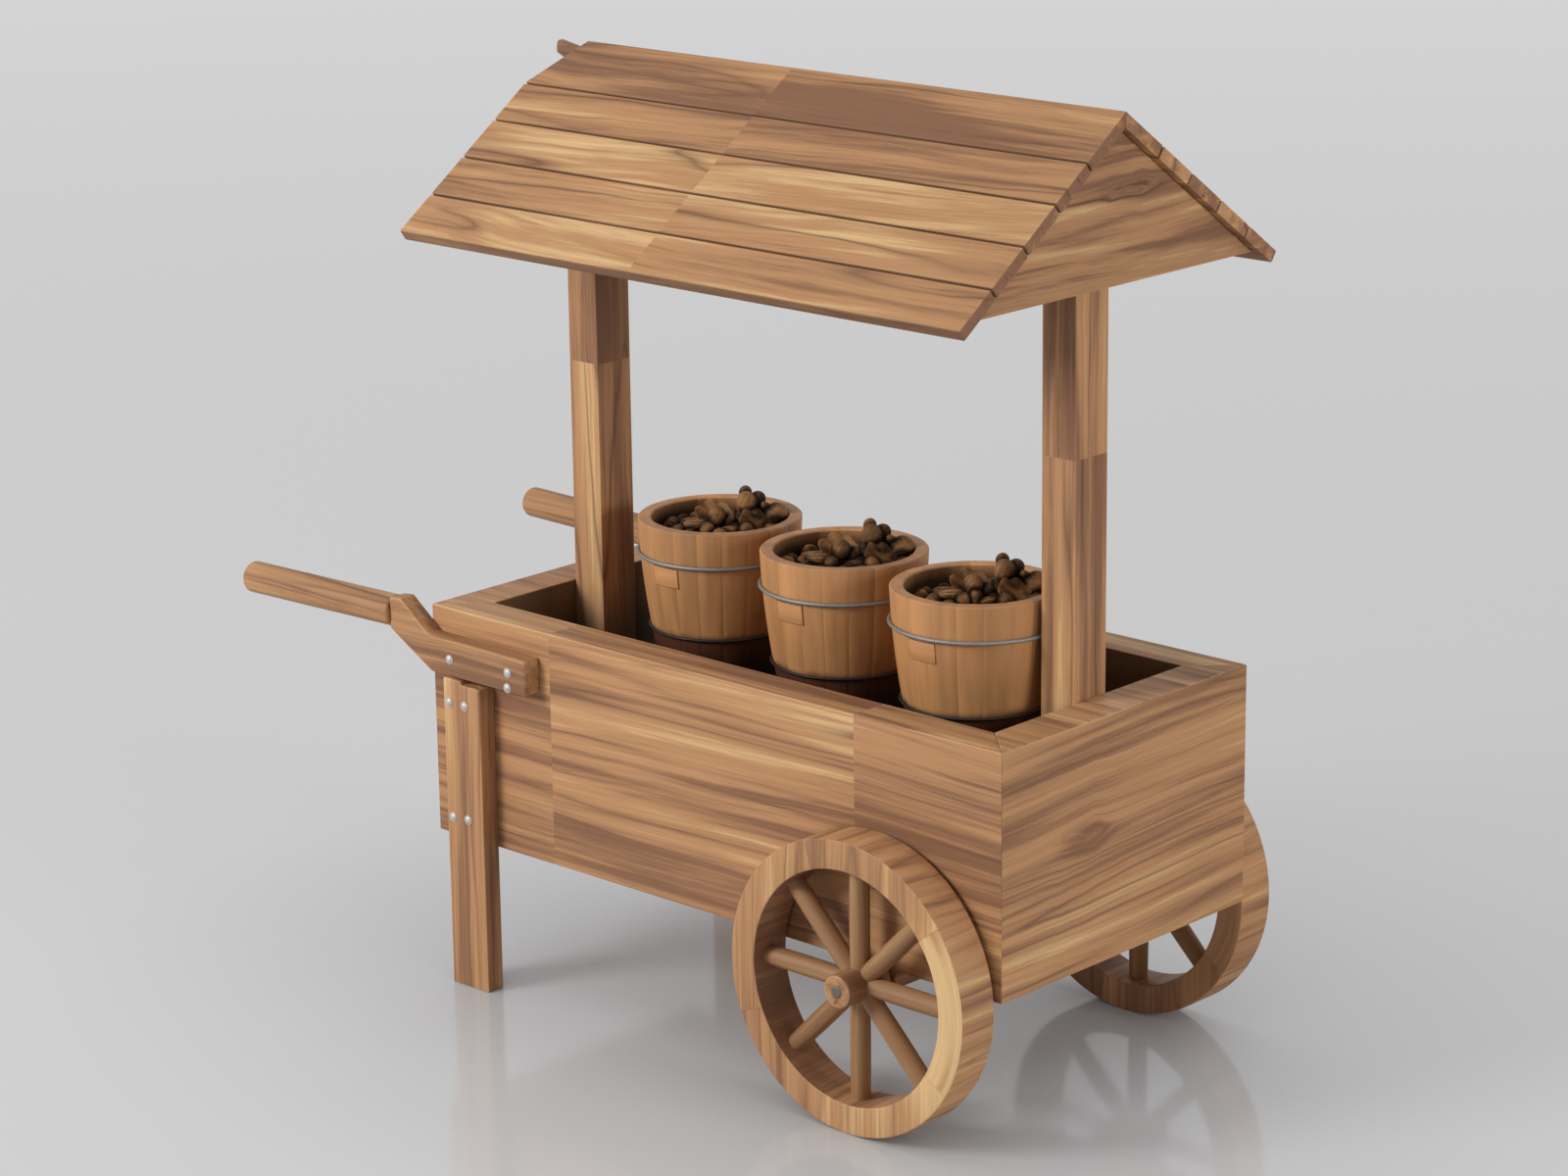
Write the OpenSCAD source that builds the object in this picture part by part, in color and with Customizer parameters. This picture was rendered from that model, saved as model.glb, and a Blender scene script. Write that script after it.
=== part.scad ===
// Roofed handcart for selling nuts: an open box on two spoked wheels and two legs,
// two posts with a boarded gable roof, two handles and three buckets of nuts.
// Millimetres. X runs along the cart towards the wheels, Z is up, and the ground is z = 0.

/* [Box] */
// Length of the box over its end walls
box_length = 1725; // [1660:5:1900]
// Width of the box over its side walls
box_width = 833; // [760:1:960]
// Height of the box walls
box_depth = 552; // [480:1:620]
// Thickness of the two long side walls
side_wall = 100; // [60:1:115]
// Thickness of the two end walls
end_wall = 105; // [60:1:120]
// Depth of the tray below the rim of the box
tray_depth = 200; // [150:5:260]
// Thickness of the tray floor and of the base
floor_board = 30; // [18:1:45]

/* [Posts and roof] */
// Size of a post along the cart
post_length = 92; // [70:1:110]
// Size of a post across the cart
post_width = 108; // [80:1:130]
// Width of the roof from eave to eave
roof_width = 1050; // [960:5:1200]
// Height of the eaves above the rim of the box
eave_height = 901; // [700:1:1000]
// Height of the ridge above the eaves
roof_rise = 372; // [250:1:450]
// Thickness of the roof boards
roof_board = 29; // [20:1:40]
// Width of the board next to the ridge, measured down the slope
ridge_board = 152; // [110:1:180]
// Gap between two roof boards
board_gap = 5; // [2:0.5:8]
// Clearance between the roof boards and the gables and posts that carry them
roof_seat = 0.3; // [0.2:0.1:1]
// Thickness of the gable panels
gable_board = 62; // [40:1:80]
// How far the roof boards run past the gable panels
gable_overhang = 22; // [5:1:60]
// Gap between a gable panel and the height of the eaves
gable_gap = 4; // [0:1:20]
// How far the rear gable is let in over the rear post
gable_lap = 36; // [0:1:38]
// How far the slanted cut takes the rear corner off the right ridge board
slant_cut = 81; // [0:1:110]
// How far the left ridge board runs past the others at the rear
ridge_tip = 22; // [0:1:40]

/* [Handles and legs] */
// Thickness of the handle bars and of the legs
bar_board = 48; // [30:1:60]
// Height of the handle bar on the side of the box
bar_height = 83; // [60:1:100]
// Depth of the top of the handle bar below the rim of the box
bar_drop = 62; // [40:1:90]
// Length of the handle bar along the side of the box
bar_reach = 355; // [320:5:420]
// How far the handle bar rises towards the grip
handle_rise = 74; // [40:1:90]
// How far behind the box the grip starts
grip_start = 95; // [80:1:130]
// Length of the grip
grip_length = 488; // [350:1:560]
// Diameter of the grip
grip_diameter = 75; // [50:1:80]
// Angle by which each grip leans outwards
grip_splay = 2.8; // [0:0.1:6]
// Rounding of the end of the grip
grip_round = 9; // [3:1:20]
// Width of a leg
leg_width = 120; // [90:1:150]
// Distance of the legs from the rear end of the box
leg_inset = 82; // [40:1:140]
// Gap between a leg and the handle bar over it
leg_gap = 6; // [2:1:15]
// How far inside the rear end of the box the handle bar starts to rise
bend_inset = 34; // [20:1:60]
// How much further forward its lower edge starts to rise
bend_lead = 9; // [0:1:30]
// Length of the squared end of the handle bar at the root of the grip
bar_end = 36; // [20:1:60]
// How far the handle bar swells above its own height at the bend and at the end
bar_swell = 4; // [0:1:10]

/* [Wheels] */
// Diameter of the wheels
wheel_diameter = 660; // [600:2:720]
// Depth of the rim from the tread to its inner face
rim_depth = 67; // [50:1:85]
// Width of the rim across the tread
rim_width = 104; // [80:1:130]
// Gap between a rim and the side of the box
rim_gap = 10.5; // [6:0.5:20]
// Number of spokes in a wheel
spoke_count = 8; // [6:1:10]
// Diameter of the spokes
spoke_diameter = 45; // [30:1:50]
// Diameter of the hub
hub_diameter = 75; // [64:1:110]
// How far the hub stands out of the rim
hub_proud = 24; // [10:1:40]
// Gap between the hub and the side of the box
hub_gap = 5.5; // [5:0.5:10]
// Diameter of the axle
axle_diameter = 28; // [20:1:36]
// How far the axle shows past the hub
axle_proud = 2; // [1:0.5:6]
// Running clearance round the axle
axle_fit = 0.05; // [0.02:0.01:0.1]
// Gap between the axle and the base of the box
axle_gap = 4; // [2:1:20]
// Distance of the axle from the wheel end of the box
axle_inset = 341; // [320:1:420]
// Size of an axle block along the cart and across it
axle_block = 90; // [70:1:120]
// Depth of wood below the axle in an axle block
axle_block_wall = 10; // [6:1:25]

/* [Buckets] */
// Gap between two buckets at their rims, measured along the cart
bucket_gap = 35.5; // [10:0.5:60]
// Diameter of a bucket at its foot
bucket_foot = 260; // [220:2:300]
// Height of a bucket
bucket_height = 408; // [360:1:460]
// How far the staves bulge past a straight taper
bucket_bulge = 11; // [0:1:16]
// Thickness of the staves
stave = 35; // [20:1:40]
// Thickness of the bottom of a bucket
bucket_bottom = 25; // [15:1:40]
// Gap between the front bucket and the front post
front_bucket_gap = 8; // [4:1:20]
// Gap between the rear bucket and the rear post
rear_bucket_gap = 112; // [70:1:120]
// Distance by which the rear and front buckets stand off the middle line
bucket_offset = 33; // [0:1:60]
// Thickness of the wire of the hoops
hoop_wire = 9; // [5:0.5:12]
// Depth of the upper hoop below the rim
upper_hoop = 80; // [60:1:110]
// Height of the lower hoop above the foot
lower_hoop = 152; // [100:1:200]
// Width of the blank tab below the upper hoop
tab_width = 75; // [50:1:90]
// Height of the tab
tab_height = 46; // [30:1:60]
// Thickness of the tab
tab_board = 8; // [5:1:12]
// Gap between the tab and the upper hoop
tab_gap = 4; // [1:0.5:10]
// Depth of the bed of nuts below the rim
nut_level = 42; // [36:1:60]
// Play between the nuts, the hoops and the staves
bucket_play = 0.3; // [0.2:0.1:1]

/* [Hidden] */
$fn = 64;

// Sides of the cart: seen from the handles, with the wheels ahead
RIGHT = -1;
LEFT = 1;
// Boards on each slope of the roof
BOARDS = 5;

// Heights
wheel_r = wheel_diameter / 2;
axle_r = axle_diameter / 2;
base_z = wheel_r + axle_r + axle_gap;
rim_z = base_z + box_depth;
tray_z = rim_z - tray_depth;
eave_z = rim_z + eave_height;
ridge_z = eave_z + roof_rise;

// Places along the cart, from the middle of the box
box_half = box_length / 2;
side_half = box_width / 2;
tray_half_x = box_half - end_wall;
tray_half_y = side_half - side_wall;
roof_front = tray_half_x + gable_board + gable_overhang;
roof_rear = -tray_half_x - (gable_board - gable_lap) - gable_overhang;
grip_x = -box_half - grip_start;
axle_x = box_half - axle_inset;

// The grip's furthest point along X, for the origin midway along the whole cart
grip_end_x = grip_x - (grip_length - grip_round) * cos(grip_splay)
    - (grip_diameter / 2 - grip_round) * sin(grip_splay) - grip_round;
middle_x = -(grip_end_x + box_half) / 2;

// Roof slope
roof_angle = atan2(roof_rise, roof_width / 2);
slope_length = norm([roof_rise, roof_width / 2]);
common_board = (slope_length - ridge_board - (BOARDS - 1) * board_gap) / (BOARDS - 1);
under_ridge_z = ridge_z - (roof_board + roof_seat) / cos(roof_angle);

// Handle and leg outlines, seen from the side
bar_top = rim_z - bar_drop;
bar_bottom = bar_top - bar_height;
bar_front = -box_half + bar_reach;
grip_z = bar_bottom + bar_height / 2 + handle_rise;
leg_x = -box_half + leg_inset;

// Wheels
rim_y = side_half + rim_gap;
hub_in_y = side_half + hub_gap;
hub_out_y = rim_y + rim_width + hub_proud;

// Buckets: rear, middle, front. They fill the room between the posts, less the gaps
row_front = tray_half_x - post_length - front_bucket_gap;
row_rear = -tray_half_x + post_length + rear_bucket_gap;
bucket_r = (row_front - row_rear - 2 * bucket_gap) / 3 / 2;
foot_r = bucket_foot / 2;
BUCKETS = [
    [row_rear + bucket_r, bucket_offset],
    [(row_rear + row_front) / 2, 0],
    [row_front - bucket_r, -bucket_offset]
];
PROFILE_STEPS = 8;

// The larger nuts of a heap: x, y from the middle of the bucket, z from the bed of nuts, radius,
// all in hundredths of the bucket's inside radius
heap_unit = (bucket_r - stave) / 100;
NUTS = [
    [9, 41, 45, 15], [15, 32, 64, 11], [32, 41, 54, 12], [35, 52, 38, 13], [55, 56, 25, 18],
    [1, -13, 28, 15], [3, -9, 12, 14], [-42, 5, 22, 13], [-40, 7, 6, 14], [-30, 32, 32, 14],
    [-28, 30, 13, 15], [-3, -32, 9, 15], [-67, 3, 8, 12], [-36, -45, 4, 10], [17, 9, 17, 13],
    [42, 12, 12, 13], [39, 43, 17, 16], [-1, 59, 10, 14]
];
// The mounds under the nuts, in the same units: x, y, z of the middle and the radius
MOUNDS = [[5, 13, -49, 65], [12, 34, 14, 29]];

// Half width of a bucket at a height above its foot
function bucket_at(z, inset = 0) =
    let (u = z / bucket_height)
    foot_r + (bucket_r - foot_r) * u + 4 * bucket_bulge * u * (1 - u) - inset;

module cart_frame() {
    translate([middle_x, 0, 0]) children();
}

// Children are drawn for the right side and mirrored for the left one
module on_side(side) {
    cart_frame() mirror([0, side == LEFT ? 1 : 0, 0]) children();
}

module side_wall_board(side) {
    color("peru") on_side(side) translate([0, 0, base_z]) linear_extrude(box_depth)
        polygon([
            [-box_half, -side_half], [box_half, -side_half],
            [tray_half_x, -tray_half_y], [-tray_half_x, -tray_half_y]
        ]);
}

module end_wall_board(front) {
    color("sienna") cart_frame() mirror([front ? 0 : 1, 0, 0]) translate([0, 0, base_z])
        linear_extrude(box_depth) polygon([
            [box_half, -side_half], [box_half, side_half],
            [tray_half_x, tray_half_y], [tray_half_x, -tray_half_y]
        ]);
}

// A floor that fits between the four walls, with its top at z
module floor_between_walls(z) {
    color("saddlebrown") cart_frame() translate([-tray_half_x, -tray_half_y, z - floor_board])
        cube([2 * tray_half_x, 2 * tray_half_y, floor_board]);
}

// The space under the roof boards, as a long prism
module under_roof(from_x, to_x, bottom_z) {
    half = (under_ridge_z - bottom_z) / tan(roof_angle);
    translate([from_x, 0, 0]) rotate([90, 0, 90]) linear_extrude(to_x - from_x)
        polygon([[-half, bottom_z], [half, bottom_z], [0, under_ridge_z]]);
}

module post_timber(front) {
    x = front ? tray_half_x - post_length : -tray_half_x;
    translate([x, -post_width / 2, tray_z]) cube([post_length, post_width, ridge_z - tray_z]);
}

// A post, cut at its top to the slopes of the roof
module post(front) {
    color("peru") cart_frame() intersection() {
        post_timber(front);
        under_roof(-box_length, box_length, tray_z);
    }
}

module gable(front) {
    outer = front ? roof_front - gable_overhang : roof_rear + gable_overhang;
    from_x = front ? outer - gable_board : outer;
    color("sienna") cart_frame() difference() {
        under_roof(from_x, from_x + gable_board, eave_z + gable_gap);
        post_timber(front);
    }
}

// Distance down the slope at which board i starts
function board_start(i) = i == 1 ? 0 : ridge_board + board_gap + (i - 2) * (common_board + board_gap);
function board_width(i) = i == 1 ? ridge_board : common_board;

module roof_board_solid(side, i) {
    tip = side == LEFT && i == 1 ? ridge_tip : 0;
    cut = side == RIGHT && i == 1 ? slant_cut : 0;
    from_y = -board_start(i) - board_width(i);
    to_y = -board_start(i);
    color("burlywood") on_side(side) difference() {
        translate([0, 0, ridge_z]) rotate([roof_angle, 0, 0]) translate([0, 0, -roof_board])
            linear_extrude(roof_board) polygon([
                [roof_rear - tip, from_y], [roof_front, from_y],
                [roof_front, to_y], [roof_rear - tip + cut, to_y]
            ]);
        // The ridge boards of the two slopes meet in a plumb cut
        translate([-box_length, 0, eave_z]) cube([2 * box_length, roof_board, 2 * roof_rise]);
    }
}

module handle_bar(side) {
    color("chocolate") on_side(side) translate([0, -side_half, 0]) rotate([90, 0, 0])
        linear_extrude(bar_board) polygon([
            [bar_front, bar_bottom], [bar_front, bar_top],
            [-box_half + bend_inset, bar_top + bar_swell],
            [grip_x + bar_end, grip_z + grip_diameter / 2 + bar_swell],
            [grip_x, grip_z + grip_diameter / 2],
            [grip_x, grip_z - grip_diameter / 2], [-box_half + bend_inset + bend_lead, bar_bottom]
        ]);
}

// A round grip with a rounded end; its root is cut to seat on the end of the handle bar
module grip(side) {
    root = grip_diameter / 4;
    r = grip_diameter / 2;
    color("peru") on_side(side) difference() {
        translate([grip_x, -side_half - bar_board / 2, grip_z]) rotate([0, -90, grip_splay])
            translate([0, 0, -root]) rotate_extrude() union() {
                square([r - grip_round, grip_length + root]);
                square([r, grip_length + root - grip_round]);
                translate([r - grip_round, grip_length + root - grip_round]) intersection() {
                    circle(grip_round);
                    square(grip_round);
                }
            }
        translate([grip_x, -box_width, 0]) cube([2 * root, box_width, 2 * rim_z]);
    }
}

module leg(side) {
    color("chocolate") on_side(side) translate([leg_x, -side_half - bar_board, 0])
        cube([leg_width, bar_board, bar_bottom - leg_gap]);
}

// Children stand on the axle line and look outwards to the right
module at_wheel(side, y) {
    on_side(side) translate([axle_x, -y, wheel_r]) rotate([90, 0, 0]) children();
}

module axle() {
    half = hub_out_y + axle_proud;
    color("dimgray") at_wheel(RIGHT, -half) cylinder(r = axle_r, h = 2 * half);
}

module axle_block_solid(side) {
    below = axle_r + axle_block_wall;
    color("saddlebrown") difference() {
        on_side(side) translate([axle_x - axle_block / 2, -side_half, wheel_r - below])
            cube([axle_block, axle_block, base_z - wheel_r + below]);
        at_wheel(side, 0) cylinder(r = axle_r + axle_fit, h = box_width);
    }
}

module wheel_rim(side) {
    color("peru") at_wheel(side, rim_y) difference() {
        cylinder(r = wheel_r, h = rim_width, $fn = 96);
        translate([0, 0, -1]) cylinder(r = wheel_r - rim_depth, h = rim_width + 2, $fn = 96);
    }
}

module wheel_spokes(side) {
    color("chocolate") at_wheel(side, rim_y + rim_width / 2) difference() {
        intersection() {
            union() for (i = [0 : spoke_count - 1])
                rotate([0, 90, 360 / spoke_count * i]) cylinder(d = spoke_diameter, h = wheel_r, $fn = 32);
            translate([0, 0, -rim_width / 2])
                cylinder(r = wheel_r - rim_depth, h = rim_width, $fn = 96);
        }
        translate([0, 0, -rim_width / 2]) cylinder(d = hub_diameter, h = rim_width);
    }
}

module wheel_hub(side) {
    color("sienna") at_wheel(side, hub_in_y) difference() {
        cylinder(d = hub_diameter, h = hub_out_y - hub_in_y);
        translate([0, 0, -1]) cylinder(r = axle_r + axle_fit, h = hub_out_y - hub_in_y + 2);
    }
}

module at_bucket(i) {
    cart_frame() translate([BUCKETS[i][0], BUCKETS[i][1], tray_z]) children();
}

// Outline of a body of revolution that follows the bulged taper between two heights
function bucket_outline(from_z, to_z, inset) = [
    for (k = [0 : PROFILE_STEPS])
        let (z = from_z + (to_z - from_z) * k / PROFILE_STEPS)
        [bucket_at(z, inset), z]
];

module bucket_form(from_z, to_z, inset) {
    rotate_extrude() polygon(concat([[0, from_z]], bucket_outline(from_z, to_z, inset), [[0, to_z]]));
}

module bucket(i) {
    color("tan") at_bucket(i) difference() {
        bucket_form(0, bucket_height, 0);
        bucket_form(bucket_bottom, bucket_height, stave);
    }
}

module hoop(z) {
    major = bucket_at(z) + bucket_play + hoop_wire / 2;
    translate([0, 0, z]) rotate_extrude() translate([major, 0]) circle(d = hoop_wire, $fn = 24);
}

module bucket_hoops() {
    color("silver") for (i = [0 : len(BUCKETS) - 1]) at_bucket(i) {
        hoop(bucket_height - upper_hoop);
        hoop(lower_hoop);
    }
}

module bucket_tabs() {
    top = bucket_height - upper_hoop - hoop_wire / 2 - tab_gap;
    front = bucket_at(top) + tab_board;
    color("burlywood") for (i = [0 : len(BUCKETS) - 1]) at_bucket(i) difference() {
        translate([-tab_width / 2, -front, top - tab_height]) cube([tab_width, 3 * tab_board, tab_height]);
        bucket_form(0, bucket_height, 0);
    }
}

module nuts(i) {
    color("maroon") at_bucket(i) {
        bucket_form(bucket_bottom, bucket_height - nut_level, stave + bucket_play);
        translate([0, 0, bucket_height - nut_level]) scale(heap_unit) {
            for (m = MOUNDS) translate([m[0], m[1], m[2]]) sphere(m[3]);
            for (n = NUTS) translate([n[0], n[1], n[2]]) sphere(n[3], $fn = 24);
        }
    }
}

side_wall_board(RIGHT);  // right_side_wall
side_wall_board(LEFT);  // left_side_wall
end_wall_board(true);  // front_end_wall
end_wall_board(false);  // rear_end_wall
floor_between_walls(tray_z);  // tray_floor
floor_between_walls(base_z + floor_board);  // base
post(true);  // front_post
post(false);  // rear_post
gable(true);  // front_gable
gable(false);  // rear_gable
roof_board_solid(RIGHT, 1);  // right_roof_board_1
roof_board_solid(RIGHT, 2);  // right_roof_board_2
roof_board_solid(RIGHT, 3);  // right_roof_board_3
roof_board_solid(RIGHT, 4);  // right_roof_board_4
roof_board_solid(RIGHT, 5);  // right_roof_board_5
roof_board_solid(LEFT, 1);  // left_roof_board_1
roof_board_solid(LEFT, 2);  // left_roof_board_2
roof_board_solid(LEFT, 3);  // left_roof_board_3
roof_board_solid(LEFT, 4);  // left_roof_board_4
roof_board_solid(LEFT, 5);  // left_roof_board_5
handle_bar(RIGHT);  // right_handle_bar
handle_bar(LEFT);  // left_handle_bar
grip(RIGHT);  // right_grip
grip(LEFT);  // left_grip
leg(RIGHT);  // right_leg
leg(LEFT);  // left_leg
axle();
axle_block_solid(RIGHT);  // right_axle_block
axle_block_solid(LEFT);  // left_axle_block
wheel_rim(RIGHT);  // right_wheel_rim
wheel_spokes(RIGHT);  // right_wheel_spokes
wheel_hub(RIGHT);  // right_wheel_hub
wheel_rim(LEFT);  // left_wheel_rim
wheel_spokes(LEFT);  // left_wheel_spokes
wheel_hub(LEFT);  // left_wheel_hub
bucket(0);  // rear_bucket
bucket(1);  // middle_bucket
bucket(2);  // front_bucket
bucket_hoops();
bucket_tabs();
nuts(0);  // rear_nuts
nuts(1);  // middle_nuts
nuts(2);  // front_nuts
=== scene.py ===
import math
import random

import bmesh
import bpy
from bpy.props import FloatProperty, FloatVectorProperty, IntProperty, PointerProperty
from mathutils import Euler, Matrix, Vector, kdtree, noise


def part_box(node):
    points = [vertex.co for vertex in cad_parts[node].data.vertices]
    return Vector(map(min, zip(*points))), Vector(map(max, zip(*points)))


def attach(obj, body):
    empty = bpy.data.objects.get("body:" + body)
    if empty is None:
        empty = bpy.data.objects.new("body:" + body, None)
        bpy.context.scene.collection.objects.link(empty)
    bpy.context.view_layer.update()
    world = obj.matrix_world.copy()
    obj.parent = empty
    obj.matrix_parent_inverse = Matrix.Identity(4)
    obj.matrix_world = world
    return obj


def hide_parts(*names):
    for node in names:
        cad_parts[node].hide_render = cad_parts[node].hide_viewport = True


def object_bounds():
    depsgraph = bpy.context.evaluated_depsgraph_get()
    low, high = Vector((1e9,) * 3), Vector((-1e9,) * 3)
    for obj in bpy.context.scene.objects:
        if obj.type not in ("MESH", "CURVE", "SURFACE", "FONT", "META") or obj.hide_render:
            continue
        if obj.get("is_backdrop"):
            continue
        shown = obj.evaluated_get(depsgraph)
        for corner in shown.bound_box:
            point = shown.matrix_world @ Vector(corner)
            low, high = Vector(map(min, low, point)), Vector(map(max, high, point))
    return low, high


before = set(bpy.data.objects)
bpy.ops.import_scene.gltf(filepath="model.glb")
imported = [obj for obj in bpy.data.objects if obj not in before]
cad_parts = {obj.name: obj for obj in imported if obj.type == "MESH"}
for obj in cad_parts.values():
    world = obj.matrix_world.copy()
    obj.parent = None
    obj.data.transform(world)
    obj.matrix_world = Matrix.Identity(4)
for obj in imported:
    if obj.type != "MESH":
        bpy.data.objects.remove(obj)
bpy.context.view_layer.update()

bl_info = {
    "name": "Nut Cart Pieces",
    "version": (1, 0, 0),
    "blender": (4, 5, 0),
    "location": "View3D > Sidebar > Nut Cart",
    "description": "Builds the boards, wheels, buckets and nuts of a roofed nut cart round its CAD frame",
    "category": "Object",
}

# The sides and ends of the cart, with their signs along Y and X
SIDES = {"right": -1, "left": 1}
ENDS = {"front": 1, "rear": -1}
BUCKETS = ("rear", "middle", "front")
X, Y, Z = Vector((1, 0, 0)), Vector((0, 1, 0)), Vector((0, 0, 1))
# A face looks along an axis where its normal has more than this share of it
SQUARE_ON = 0.8
# The patterns of the grain are shifted by up to so many metres from board to board
FIGURE_SPREAD = 20


def tint(text):
    """A display colour such as 'b8906a' as linear red, green and blue."""
    parts = [int(text[i:i + 2], 16) / 255 for i in (0, 2, 4)]
    return tuple(p / 12.92 if p <= 0.04045 else ((p + 0.055) / 1.055) ** 2.4 for p in parts)


def shaded(tone, by):
    """A colour made darker, or lighter by more than 1."""
    return tuple(min(1, part * by) for part in tone)


# ---------------------------------------------------------------- sizes and colours

def number(name, description, default, low=0, **settings):
    return FloatProperty(name=name, description=description, default=default, min=low, **settings)


def length(name, description, default):
    return number(name, description, default, unit="LENGTH", precision=4)


def share(name, description, default):
    return number(name, description, default, max=1, subtype="FACTOR")


def colour(name, description, text):
    return FloatVectorProperty(
        name=name, description=description, default=tint(text), min=0, max=1, size=3, subtype="COLOR")


class CartTimber(bpy.types.PropertyGroup):
    edge: length("Edge", "Rounding of the long edges of the boards", 0.003)
    rear_joint: share(
        "Rear wall joint", "Place of the rear joint in a side wall, from its rear end", 0.2246)
    front_joint: share(
        "Front wall joint", "Place of the front joint in a side wall, from its rear end", 0.762)
    roof_joint: share("Roof joint", "Place of the joint in the roof boards, from their rear end", 0.4357)
    post_joint: share("Post joint", "Place of the joint in a post, from its foot", 0.509)
    slant_cut: length(
        "Slant cut", "How far the slanted cut takes the corner off the right ridge board", 0.081)
    bar_height: length("Bar height", "Height of a handle bar along the box", 0.083)
    bend_inset: length("Bend inset", "Distance of the bend of a handle bar inside the end of the box", 0.034)
    bend_lead: length("Bend lead", "How much further forward the lower edge bends", 0.009)
    bar_end: length("Bar end", "Length of the squared end of a handle bar at the grip", 0.036)
    bar_swell: length("Bar swell", "How far a handle bar swells above its height at the bend", 0.004)
    grip_splay: number(
        "Grip splay", "Angle by which each grip leans outwards", math.radians(2.8), subtype="ANGLE")
    grip_round: length("Grip end", "Rounding of the end of a grip", 0.009)
    leg_gap: length("Leg gap", "Gap between the front half of a leg's top and the bar", 0.009)
    floor_width: length("Floor board", "Width of a board of the tray floor", 0.104)
    floor_gap: length("Floor gap", "Gap between two boards of the tray floor", 0.003)
    bolt: length("Bolt", "Diameter of the washer of a bolt", 0.023)
    bolt_rise: length("Bolt rise", "How far the head of a bolt stands out", 0.006)
    washer: length("Washer", "Thickness of the washer of a bolt", 0.0018)


class CartWheels(bpy.types.PropertyGroup):
    spokes: IntProperty(name="Spokes", description="Number of spokes in a wheel", default=8, min=3)
    joint: length("Felloe joint", "Width of the joint between two felloes", 0.0004)
    edge: length("Rim edge", "Rounding of the edges of a rim", 0.0035)
    swell: share("Spoke swell", "How much thinner a spoke is at its ends than at its middle", 0.06)
    hub_edge: length("Hub edge", "Rounding of the outer edge of a hub", 0.005)


class CartBuckets(bpy.types.PropertyGroup):
    staves: IntProperty(name="Staves", description="Number of staves in a bucket", default=20, min=8)
    foot: length("Foot", "Radius of a bucket at its foot", 0.130)
    bulge: length("Bulge", "How far the staves bulge past a straight taper", 0.011)
    stave: length("Stave", "Thickness of the staves", 0.031)
    bottom: length("Bottom", "Thickness of the bottom of a bucket", 0.025)
    wire: length("Wire", "Thickness of the wire of a hoop", 0.009)
    upper_hoop: length("Upper hoop", "Depth of the upper hoop below the rim", 0.080)
    lower_hoop: length("Lower hoop", "Height of the lower hoop above the foot", 0.152)
    tab_width: length("Tab width", "Width of the blank tab below the upper hoop", 0.075)
    tab: length("Tab", "Thickness of the tab outside the staves", 0.0022)
    bed: length("Bed of nuts", "Depth of the bed of nuts below the rim", 0.042)
    nut: length("Small nut", "Radius of the small nuts of the bed", 0.0195)


class CartColours(bpy.types.PropertyGroup):
    pale: colour("Pale wood", "Palest streaks of the boards", "e6c08a")
    tan: colour("Tan wood", "Main colour of the boards", "c19064")
    brown: colour("Brown wood", "Brown bands of the boards", "8d6449")
    line: colour("Grain line", "Thin dark lines of the grain", "4a2e20")
    bucket: colour("Bucket wood", "Main colour of the staves", "c08a58")
    stain: colour("Bucket stain", "Stain at the foot of a bucket", "57301f")
    tray: colour("Tray wood", "Dark wood inside the tray", "745a42")
    steel: colour("Steel", "Wire hoops, bolts and axle", "b4b0ac")
    nut: colour("Nut shell", "Main colour of the nut shells", "87603c")
    floor: colour("Floor", "Floor and backdrop", "cfcfd0")


class CartStage(bpy.types.PropertyGroup):
    key: number("Key", "Power of the large soft lamp", 680, unit="POWER")
    fill: number("Fill", "Power of the lamp at the wheel end", 270, unit="POWER")
    sky: number("Sky", "Strength of the light from all round", 0.3)
    lens: number("Lens", "Focal length of the camera in millimetres", 97.98, low=1)
    reach: length("Floor reach", "Radius of the floor", 60)


# ---------------------------------------------------------------- nodes from expressions

class Value:
    """One socket of a node tree. Python's operators on it add Math or Vector Math nodes."""

    def __init__(self, nodes, socket):
        self.nodes = nodes
        self.socket = socket

    def out(self, name):
        return Value(self.nodes, self.socket.node.outputs[name])

    def combine(self, operation, first, second):
        of_vectors = any(
            isinstance(term, tuple) or (isinstance(term, Value) and term.socket.type == "VECTOR")
            for term in (first, second))
        kind = "ShaderNodeVectorMath" if of_vectors else "ShaderNodeMath"
        return self.nodes.add(kind, {"operation": operation}, first, second)

    def __add__(self, other):
        return self.combine("ADD", self, other)

    def __radd__(self, other):
        return self.combine("ADD", other, self)

    def __sub__(self, other):
        return self.combine("SUBTRACT", self, other)

    def __rsub__(self, other):
        return self.combine("SUBTRACT", other, self)

    def __mul__(self, other):
        return self.combine("MULTIPLY", self, other)

    def __rmul__(self, other):
        return self.combine("MULTIPLY", other, self)

    def __truediv__(self, other):
        return self.combine("DIVIDE", self, other)

    def __rtruediv__(self, other):
        return self.combine("DIVIDE", other, self)

    def __pow__(self, other):
        return self.combine("POWER", self, other)

    def clamped(self):
        return self.nodes.add("ShaderNodeClamp", {}, self, 0, 1)

    def pingpong(self):
        """Up from 0 to 1 and down again, over and over."""
        return self.nodes.add("ShaderNodeMath", {"operation": "PINGPONG"}, self, 1)

    def step(self, low, high):
        """0 below low, 1 above high and smooth between."""
        return self.nodes.add(
            "ShaderNodeMapRange", {"interpolation_type": "SMOOTHSTEP"}, self, low, high, 0, 1)


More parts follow.
